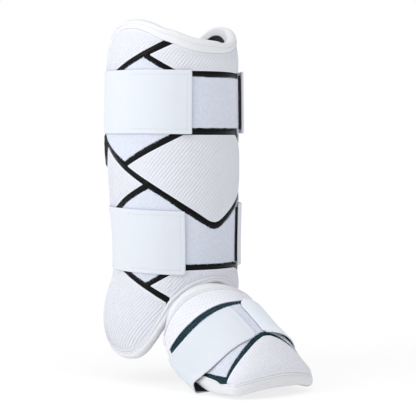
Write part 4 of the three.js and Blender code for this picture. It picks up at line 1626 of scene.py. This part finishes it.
class LEGGUARD_OT_loop_cloths(bpy.types.Operator):
    """Builds the brushed loop cloths with their ragged cut edges"""

    bl_idname = "leg_guard.loop_cloths"
    bl_label = "Loop cloths"

    def execute(self, context):
        sizes = context.scene.leg_guard_sizes
        finish = finish_of("loop_cloth")
        tree = fuzz_tree()
        for number, (node, outline) in enumerate({**SHIN_LOOPS, **FOOT_LOOP_CLOTHS}.items()):
            surface = outline.surface
            seed = sizes.seed + number
            turn, at = panel_places(outline, LOOP_STEP, RAGGED, seed)
            relief = panel_relief(outline, turn, at, sizes.crown / MILLIMETRE, 0.0)
            mesh, used = panel_mesh(f"{node}_cloth", outline, turn, at, relief, LOOP_STRIDE)
            brushed = np.concatenate([np.ones(turn.size), np.zeros(turn.size)])[used]
            point_attribute(mesh, "brushed", "FLOAT", brushed)
            cloth = put(f"{node}_cloth", mesh, finish)
            edge = rim(np.arange(turn.size).reshape(turn.shape))
            roots = surface.point(turn, at, relief - FIBRE_ROOT)
            cut = roots.reshape(-1, 3)[edge]
            up = outward(surface, turn, at).reshape(-1, 3)[edge]
            aside = cut - roots.mean((0, 1))
            aside /= np.linalg.norm(aside, axis=-1, keepdims=True)
            cut_edge = lines_object("cut_edge", [cut], True, lean=[aside + FIBRE_RISE * up])
            baked(
                cloth,
                tree,
                Cut_edge=cut_edge,
                Fibre_length=sizes.fibre_length,
                Spacing=sizes.fibre_spacing,
                Density=FIBRE_DENSITY,
                Seed=seed,
                Material=finish,
            )
            bpy.data.objects.remove(cut_edge)
            finish_piece(cloth, "loop", node)
            low, high = outline.edges(turn[:, 0])
        return {"FINISHED"}


# Straps

def fading(distance, reach, run):
    """1 near an end, easing to 0 over the last run of a reach."""
    return smooth_step((reach - distance) / run)


def strap_piece(name, middle, from_ends, from_sides, uv, out_of, sewn, far_hem=0.0, backed=False):
    """An elastic strap about its middle surface: round edges, a hem at its near end, perhaps a dark back."""
    normals = grid_normals(middle)
    if ((middle - out_of) * normals).sum() < 0:
        normals = -normals
    inside = np.minimum(np.minimum(from_ends[0], from_ends[1]), from_sides)
    half = STRAP_THICK / 2 * thinned(inside, *STRAP_END)
    seam = np.minimum(np.abs(from_ends[0] - STRAP_SEAM), np.abs(from_sides - STRAP_SEAM))
    groove = SEAM_DEPTH * np.exp(-((seam / SEAM_WIDTH) ** 2)) * sewn
    rounded = round_off(inside, HEM_EDGE)
    hem = HEM_RISE * fading(from_ends[0], *NEAR_HEM) * rounded
    hem = hem + far_hem * fading(from_ends[1], *FAR_HEM) * rounded
    outer = middle + normals * (half + hem - groove)[..., None]
    inner = middle - normals * half[..., None]
    points, quads, wide = shell(outer, inner, STRAP_STRIDE)
    maps = np.concatenate([uv.reshape(-1, 2), uv.reshape(-1, 2)])
    mesh, used = mesh_of(name, points, quads, wide, maps)
    if backed:
        # Painted light: the strap is painted whiter towards its far end
        white = fading(from_ends[1], *PAINTED_LIGHT_PART).ravel()
        point_attribute(mesh, "whiter", "FLOAT", np.concatenate([white, white])[used])
        back = smooth_step((inside - BACK_BORDER[0]) / BACK_BORDER[1]).ravel()
        point_attribute(mesh, "backing", "FLOAT", np.concatenate([0 * white, back])[used])
    return put(name, mesh, finish_of("woven_elastic"))


def near_lift(strap, angle):
    """How far a calf strap's near end stands off."""
    from_near = (360 - strap.near_end - angle) * SHIN_SKIN.across
    return NEAR_LIFT * (1 - smooth_step(from_near / NEAR_LIFT_REACH))


def calf_strap(name, strap):
    """A calf strap from its near end, round behind the calf, to its lifted far end."""
    near = 360 - strap.near_end
    scale = SHIN_SKIN.across
    angles = spread(strap.far_end, near, CALF_STRAP_STEP, STRAP_LIPS / scale)[::-1]
    from_near = (near - angles) * scale
    from_far = (angles - strap.far_end) * scale
    corner = CALF_CORNER * (1 - round_off(np.minimum(from_near, from_far), CALF_CORNER))
    level = strap_middle(strap, angles)
    low = level - STRAP_WIDTH / 2 + corner
    high = level + STRAP_WIDTH / 2 - corner
    height = spread(low, high, STRAP_ACROSS, STRAP_LIPS)
    settled = FAR_END + HOOK_SPAN
    lift = (strap.hook + HOOK_GAP) * (1 - smooth_step((angles - settled) / SETTLE_RUN))
    over = STRAP_SEAT + STRAP_THICK / 2 + lift + near_lift(strap, angles)
    turn = np.broadcast_to(angles[:, None], height.shape)
    middle = shin_point(turn, height, over[:, None])
    ends = [np.broadcast_to(part[:, None], height.shape) for part in (from_near, from_far)]
    sides = STRAP_WIDTH / 2 - np.abs(height - level[:, None])
    uv = np.stack([turn * scale, height], -1)
    first_sewn = STRAP_SEAM - SEAM_MARGIN
    sewn = fading(ends[0], *SEWN_PART) * (sides > first_sewn) * (ends[0] > first_sewn)
    axis = np.stack([np.zeros_like(height), np.zeros_like(height), height], -1)
    piece = strap_piece(name, middle, ends, sides, uv, axis, sewn, strap.far_hem)
    return piece


def foot_strap_stations(shares):
    """Points across the foot strap at each station of its loop: over the dome, round the rolls and under."""
    hang = STRAP_HANG(shares)[0]
    front_half = np.maximum(1 - shares / BULGE_SHARE, 0) ** 2
    turned = ROLL_TURN + STRAP_THICK / 2 * math.sqrt(0.5)
    dropped = SEAT + STRAP_THICK / 2 * math.sqrt(0.5)

    def along_at(angle):
        front, rear = FOOT_STRAP(angle)
        return front + (rear - front) * shares

    def over(angle, lift):
        bulge = STRAP_BULGE(angle)[0] * front_half
        return foot_point(angle, along_at(angle), lift + bulge + STRAP_THICK / 2)

    def at_roll(sign, outside, hanging, swell):
        bulge = STRAP_BULGE(sign * BULGE_ANGLE)[0] * front_half * swell
        return foot_point(sign * (90 + hang * hanging), along_at(sign * ROLL_ANGLE), outside + bulge)

    def below(points, drop):
        return points - np.array([0, 0, drop])

    def round_roll(sign, low_swell):
        return [
            over(sign * (90 + hang * TURN_HANG[0]), ROLL_CLEAR),
            at_roll(sign, turned + TURN_OUT, TURN_HANG[1], TURN_SWELL),
            below(at_roll(sign, turned - TURN_IN, 1, low_swell), dropped),
        ]

    def ends_at(corners):
        return corners[0] + (corners[1] - corners[0]) * shares

    near, far = (at_roll(sign, ROLL_MIDDLE, 1, 0) for sign in (-1, 1))
    near_angles = np.linspace(ends_at(FOOT_STRAP_NEAR_END), FOOT_STRAP_LOW, 9)
    far_angles = np.linspace(FOOT_STRAP_LOW, ends_at(FOOT_STRAP_FAR_END), 9)
    return np.stack([
        *(over(-angle, STRAP_SEAT) for angle in near_angles),
        *round_roll(-1, NEAR_LOW_SWELL),
        *(below(near + (far - near) * part, SEAT + STRAP_THICK / 2) for part in np.linspace(0, 1, 5)),
        *reversed(round_roll(1, FAR_LOW_SWELL)),
        *(over(angle, STRAP_SEAT) for angle in far_angles),
    ])


def foot_strap():
    """The foot strap: one loop with both ends on the ridge and round corners."""
    shares = np.linspace(0, 1, STRAP_LINES)
    stations = foot_strap_stations(shares)
    steps = np.linalg.norm(np.diff(stations, axis=0), axis=-1).mean(-1)
    places = np.concatenate([[0], np.cumsum(steps)])
    path = Table(np.column_stack([places, stations.reshape(len(stations), -1)]), smooth=True)
    around = spread(0.0, places[-1], FOOT_STRAP_STEP, STRAP_LIPS)
    lines = np.moveaxis(path(around), 0, -1).reshape(len(around), len(shares), 3)
    wide = np.linalg.norm(lines[:, -1] - lines[:, 0], axis=-1)
    from_near, from_far = around, places[-1] - around
    corner = FOOT_CORNER * (1 - round_off(np.minimum(from_near, from_far), FOOT_CORNER))
    across = spread(corner, wide - corner, STRAP_ACROSS, STRAP_LIPS)
    at = across / wide[:, None] * (len(shares) - 1)
    column = np.clip(at.astype(int), 0, len(shares) - 2)
    part = (at - column)[..., None]
    row = np.arange(len(around))[:, None]
    middle = lines[row, column] * (1 - part) + lines[row, column + 1] * part
    ends = [np.broadcast_to(line[:, None], across.shape) for line in (from_near, from_far)]
    sides = np.minimum(across, wide[:, None] - across)
    uv = np.stack([ends[0], across], -1)
    sewn = (np.abs(ends[0] - STRAP_SEAM) < SEAM_MARGIN) * (sides > STRAP_SEAM - SEAM_MARGIN)
    piece = strap_piece("foot_strap_elastic", middle, ends, sides, uv, FOOT_CENTRE, sewn, backed=True)
    return piece


class LEGGUARD_OT_straps(bpy.types.Operator):
    """Builds the two calf straps and the foot strap of woven elastic"""

    bl_idname = "leg_guard.straps"
    bl_label = "Elastic straps"

    def execute(self, context):
        for key, strap in CALF_STRAPS.items():
            piece = calf_strap(f"{key}_strap_elastic", strap)
            finish_piece(piece, "elastic", f"{key}_strap")
        finish_piece(foot_strap(), "elastic", "foot_strap")
        return {"FINISHED"}


class LEGGUARD_OT_hook_tapes(bpy.types.Operator):
    """Builds the hook tapes under the far ends of the calf straps"""

    bl_idname = "leg_guard.hook_tapes"
    bl_label = "Hook tapes"

    def execute(self, context):
        sizes = context.scene.leg_guard_sizes
        pitch = sizes.hook_pitch / MILLIMETRE
        tree = hook_tree()
        for key, strap in CALF_STRAPS.items():
            first = strap.far_end - HOOK_SHOWS
            span = FAR_END - HOOK_SHOWS + HOOK_SPAN - first
            angles = spread(first, first + span, TAPE_STEPS[0], PANEL_LIPS / SHIN_SKIN.across)
            low = strap_middle(strap, angles) - HOOK_WIDTH / 2
            height = spread(low, low + HOOK_WIDTH, TAPE_STEPS[1], PANEL_LIPS)
            turn = np.broadcast_to(angles[:, None], height.shape)
            from_edges = np.minimum(height - low[:, None], low[:, None] + HOOK_WIDTH - height)
            from_ends = np.minimum(turn - first, first + span - turn) * SHIN_SKIN.across
            drop = TAPE_EDGE * (1 - round_off(np.minimum(from_edges, from_ends), TAPE_EDGE))
            outer = shin_point(turn, height, STRAP_SEAT + strap.hook - drop)
            inner = shin_point(turn, height, STRAP_SEAT + 0.0 * turn)
            mesh, _ = mesh_of(f"{key}_hook_tape", *shell(outer, inner))
            tape = put(f"{key}_hook_tape", mesh, finish_of("hook_tape"))
            aside, up = HOOK_MARGINS
            seat_angles = np.arange(first + aside, first + span - aside, pitch / SHIN_SKIN.across)
            seat_heights = np.arange(low[0] + up, low[0] + HOOK_WIDTH - up, pitch)
            seat_turn, seat_height = (part.ravel() for part in np.meshgrid(seat_angles, seat_heights))
            seat_height = seat_height + strap_middle(strap, seat_turn) - strap_middle(strap, first)
            places = shin_point(seat_turn, seat_height, STRAP_SEAT + strap.hook + HOOK_STANDS)
            outs = outward(SHIN_SKIN, seat_turn, seat_height)
            seats = lines_object("hook_seats", [places], outward=[outs])
            baked(tape, tree, Seats=seats, Hook_height=HOOK_HEIGHT, Material=finish_of("hook_tape"))
            bpy.data.objects.remove(seats)
            finish_piece(tape, "hook", f"{key}_hook_patch")
        return {"FINISHED"}


class LEGGUARD_OT_ankle_tab(bpy.types.Operator):
    """Builds the cloth tab behind the ankle, which hinges the foot guard to the shin shell"""

    bl_idname = "leg_guard.ankle_tab"
    bl_label = "Ankle tab"

    def execute(self, context):
        inside = PAD_INNER - SEAT - TAB_THICK / 2
        angles = spread(-TAB_HALF_ANGLE, TAB_HALF_ANGLE, TAB_STEPS[0], PANEL_LIPS)
        stations = np.stack([
            surface.point(angles, at, inside - deeper) for surface, at, deeper in TAB_STATIONS
        ])
        count = len(stations)
        path = Table(np.column_stack([np.arange(count), stations.reshape(count, -1)]), smooth=True)
        steps = spread(0.0, count - 1, TAB_STEPS[1], PANEL_LIPS / TAB_LENGTH)
        middle = np.moveaxis(path(steps), 0, -1).reshape(len(steps), len(angles), 3)
        normals = grid_normals(middle)
        from_sides = (TAB_HALF_ANGLE - np.abs(angles)) * TAB_ACROSS
        from_ends = np.minimum(steps, count - 1 - steps) * TAB_LENGTH
        inset = np.minimum(from_sides[None], from_ends[:, None])
        half = TAB_THICK / 2 * thinned(inset, *TAB_END)[..., None]
        points, quads, wide = shell(middle + normals * half, middle - normals * half)
        mesh, _ = mesh_of("ankle_tab_cloth", points, quads, wide)
        tab = put("ankle_tab_cloth", mesh, finish_of("shin_knit"))
        finish_piece(tab, "pad", "ankle_tab")
        return {"FINISHED"}


# Sewing

def strap_seams(strap):
    """The stitched outline at the near end of a calf strap."""
    over = STRAP_SEAT + STRAP_THICK - SEAM_DEPTH
    near = 360 - strap.near_end
    end = near - STRAP_SEAM / SHIN_SKIN.across
    back = near - STITCHED_LENGTH / SHIN_SKIN.across
    reach = STRAP_WIDTH / 2 - STRAP_SEAM
    along = np.linspace(back, end, 60)
    up = np.linspace(-reach, reach, 40)
    level = strap_middle(strap, along)
    return [
        shin_point(along, level - reach, over + near_lift(strap, along)),
        shin_point(end + 0 * up, level[-1] + up, over + near_lift(strap, end)),
        shin_point(along, level + reach, over + near_lift(strap, along)),
    ]


def sewn_line(seam, edge, sewn):
    """Angles and places of the stitches across a roll."""
    line = seam + (edge - seam) * sewn[0]
    return line[:, 0], line[:, 1]


class LEGGUARD_OT_stitches(bpy.types.Operator):
    """Sews the stitches of the bindings and the straps"""

    bl_idname = "leg_guard.stitches"
    bl_label = "Stitches"

    def execute(self, context):
        sizes = context.scene.leg_guard_sizes
        angles = np.linspace(-BACK_EDGE + SEWN_FROM_BACK, BACK_EDGE - SEWN_FROM_BACK, SHIN_SEWN_STATIONS)
        top = sewn_line(*shin_seam(top_seam, angles, top_roll_width(angles), 1), TOP_ROLL_SEWN)
        low = sewn_line(*shin_seam(bottom_seam, angles, bottom_roll_width(angles), -1), BOTTOM_ROLL_SEWN)
        foot_low, foot_edge = foot_seam(FOOT_SEWN_STATIONS)
        foot = sewn_line(foot_low, foot_edge, FOOT_ROLL_SEWN)
        foot_over = FOOT_ROLL_SEWN[1] - tucked(foot_low) * leaning(FOOT_ROLL_SEWN[0])
        groups = {
            "top_binding_stitches": [shin_point(*top, TOP_ROLL_SEWN[1])],
            "bottom_binding_stitches": [shin_point(*low, BOTTOM_ROLL_SEWN[1])],
            "foot_binding_stitches": [foot_point(*foot, foot_over)],
            "upper_strap_stitches": strap_seams(CALF_STRAPS["upper"]),
            "lower_strap_stitches": strap_seams(CALF_STRAPS["lower"]),
        }
        tree = stitch_tree()
        for name, lines in groups.items():
            stitches = lines_object(name, lines)
            baked(
                stitches,
                tree,
                Pitch=sizes.stitch_pitch,
                Stitch=sizes.stitch_length,
                Thickness=sizes.stitch_thickness,
                Material=finish_of("sewing_thread"),
            )
            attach(stitches, BODY)
        return {"FINISHED"}


# Stage

def floor_material(stage):
    """A pale floor that glows more the further it is from the leg, with a faded shadow."""
    material, tree, shader = new_material("pale_floor", 0.8, specular=0.1)
    shader.inputs["Base Color"].default_value = (*stage.floor, 1)
    shader.inputs["Emission Color"].default_value = WHITE
    place = wire(tree, "ShaderNodeTexCoord").outputs["Object"]
    away = wire(tree, "ShaderNodeVectorMath", {"operation": "LENGTH"}, Vector=place).outputs["Value"]
    glow = wire(tree, "ShaderNodeMapRange", Value=away, From_Min=0.3, From_Max=1.6, To_Min=0.13, To_Max=0.6)
    fill(tree, shader.inputs["Emission Strength"], glow)
    seen = wire(tree, "ShaderNodeLightPath").outputs["Is Camera Ray"]
    share_lit = calculate(tree, "MULTIPLY", seen, stage.shadow_lift)
    mixed_shader(tree, share_lit, shader, wire(tree, "ShaderNodeEmission"), "Material Output")
    return material


def mixed_shader(tree, factor, first, second, end):
    """Ends a tree with a mix of two shaders."""
    mixed = wire(tree, "ShaderNodeMixShader")
    for socket, value in zip(mixed.inputs, (factor, first, second)):
        fill(tree, socket, value)
    fill(tree, tree.nodes[end].inputs["Surface"], mixed)


def soft_sky(strength):
    """An even white light with a white backdrop for the camera."""
    world = bpy.data.worlds.new("soft_sky")
    world.use_nodes = True
    tree = world.node_tree
    light = tree.nodes["Background"]
    light.inputs["Color"].default_value = WHITE
    light.inputs["Strength"].default_value = strength
    backdrop = wire(tree, "ShaderNodeBackground", Color=WHITE, Strength=1.0)
    seen = wire(tree, "ShaderNodeLightPath").outputs["Is Camera Ray"]
    mixed_shader(tree, seen, light, backdrop, "World Output")
    return world


def placed(name, data, place, aim):
    """A lamp or a camera at a place, turned along its aim."""
    placed_object = bpy.data.objects.new(name, data)
    placed_object.location = place
    placed_object.rotation_euler = aim.to_track_quat("-Z", "Y").to_euler()
    bpy.context.scene.collection.objects.link(placed_object)
    return placed_object


class LEGGUARD_OT_stage(bpy.types.Operator):
    """Sets the floor, the soft light and the camera"""

    bl_idname = "leg_guard.stage"
    bl_label = "Stage"

    def execute(self, context):
        scene = context.scene
        stage = scene.leg_guard_stage
        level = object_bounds()[0].z - FLOOR_GAP
        square = ((-1, -1), (1, -1), (1, 1), (-1, 1))
        corners = [(x * FLOOR_REACH, y * FLOOR_REACH, level) for x, y in square]
        floor_mesh = bpy.data.meshes.new("floor")
        floor_mesh.from_pydata(corners, [], [(0, 1, 2, 3)])
        put("floor", floor_mesh, floor_material(stage))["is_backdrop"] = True
        scene.world = soft_sky(stage.sky)

        turn = stage.azimuth + stage.key_turn
        away, up = KEY_PLACE
        lamps = {
            "key": (stage.key, LAMP_SIZES[0], Vector((away * math.sin(turn), -away * math.cos(turn), up))),
            "top": (stage.top, LAMP_SIZES[1], Vector(TOP_PLACE)),
        }
        for name, (watts, size, place) in lamps.items():
            lamp = bpy.data.lights.new(name, "AREA")
            lamp.energy = watts
            lamp.size = size
            placed(name, lamp, place, -place)

        camera = bpy.data.cameras.new("camera")
        camera.lens = stage.lens
        camera.sensor_width = 36
        camera.clip_end = 100
        ahead = Vector((-math.sin(stage.azimuth), math.cos(stage.azimuth), 0))
        aside = Vector((ahead.y, -ahead.x, 0))
        level_aim = ahead * math.cos(stage.turn) + aside * math.sin(stage.turn)
        aim = level_aim * math.cos(stage.tilt) - Vector((0, 0, math.sin(stage.tilt)))
        place = -ahead * stage.distance + Vector((0, 0, stage.height))
        scene.camera = placed("camera", camera, place, aim)
        scene.view_settings.view_transform = "Standard"
        return {"FINISHED"}


PIECES = (
    LEGGUARD_OT_pads,
    LEGGUARD_OT_bindings,
    LEGGUARD_OT_ribbed_panels,
    LEGGUARD_OT_mesh_panels,
    LEGGUARD_OT_loop_cloths,
    LEGGUARD_OT_straps,
    LEGGUARD_OT_hook_tapes,
    LEGGUARD_OT_ankle_tab,
    LEGGUARD_OT_stitches,
    LEGGUARD_OT_stage,
)


class LEGGUARD_PT_pieces(bpy.types.Panel):
    """Lists the leg guard's pieces, sizes and colours"""

    bl_idname = "LEGGUARD_PT_pieces"
    bl_label = "Leg guard"
    bl_space_type = "VIEW_3D"
    bl_region_type = "UI"
    bl_category = "Leg guard"

    def draw(self, context):
        for operator in PIECES:
            self.layout.operator(operator.bl_idname)
        for name in GROUPS:
            group = getattr(context.scene, name)
            box = self.layout.box()
            for key in group.__annotations__:
                box.prop(group, key)


GROUPS = {
    "leg_guard_sizes": LegGuardSizes,
    "leg_guard_colours": LegGuardColours,
    "leg_guard_stage": LegGuardStage,
}


def register():
    """Registers the groups, the operators and the panel."""
    for group in GROUPS.values():
        bpy.utils.register_class(group)
    for name, group in GROUPS.items():
        setattr(bpy.types.Scene, name, PointerProperty(type=group))
    for operator in PIECES:
        bpy.utils.register_class(operator)
    bpy.utils.register_class(LEGGUARD_PT_pieces)


def unregister():
    """Takes back what register did."""
    bpy.utils.unregister_class(LEGGUARD_PT_pieces)
    for operator in reversed(PIECES):
        bpy.utils.unregister_class(operator)
    for name in GROUPS:
        delattr(bpy.types.Scene, name)
    for group in GROUPS.values():
        bpy.utils.unregister_class(group)


def main():
    """Builds the leg guard and its stage."""
    register()
    bpy.ops.leg_guard.pads()
    bpy.ops.leg_guard.bindings()
    bpy.ops.leg_guard.ribbed_panels()
    bpy.ops.leg_guard.mesh_panels()
    bpy.ops.leg_guard.loop_cloths()
    bpy.ops.leg_guard.straps()
    bpy.ops.leg_guard.hook_tapes()
    bpy.ops.leg_guard.ankle_tab()
    bpy.ops.leg_guard.stitches()
    bpy.ops.leg_guard.stage()


if __name__ == "__main__":
    main()
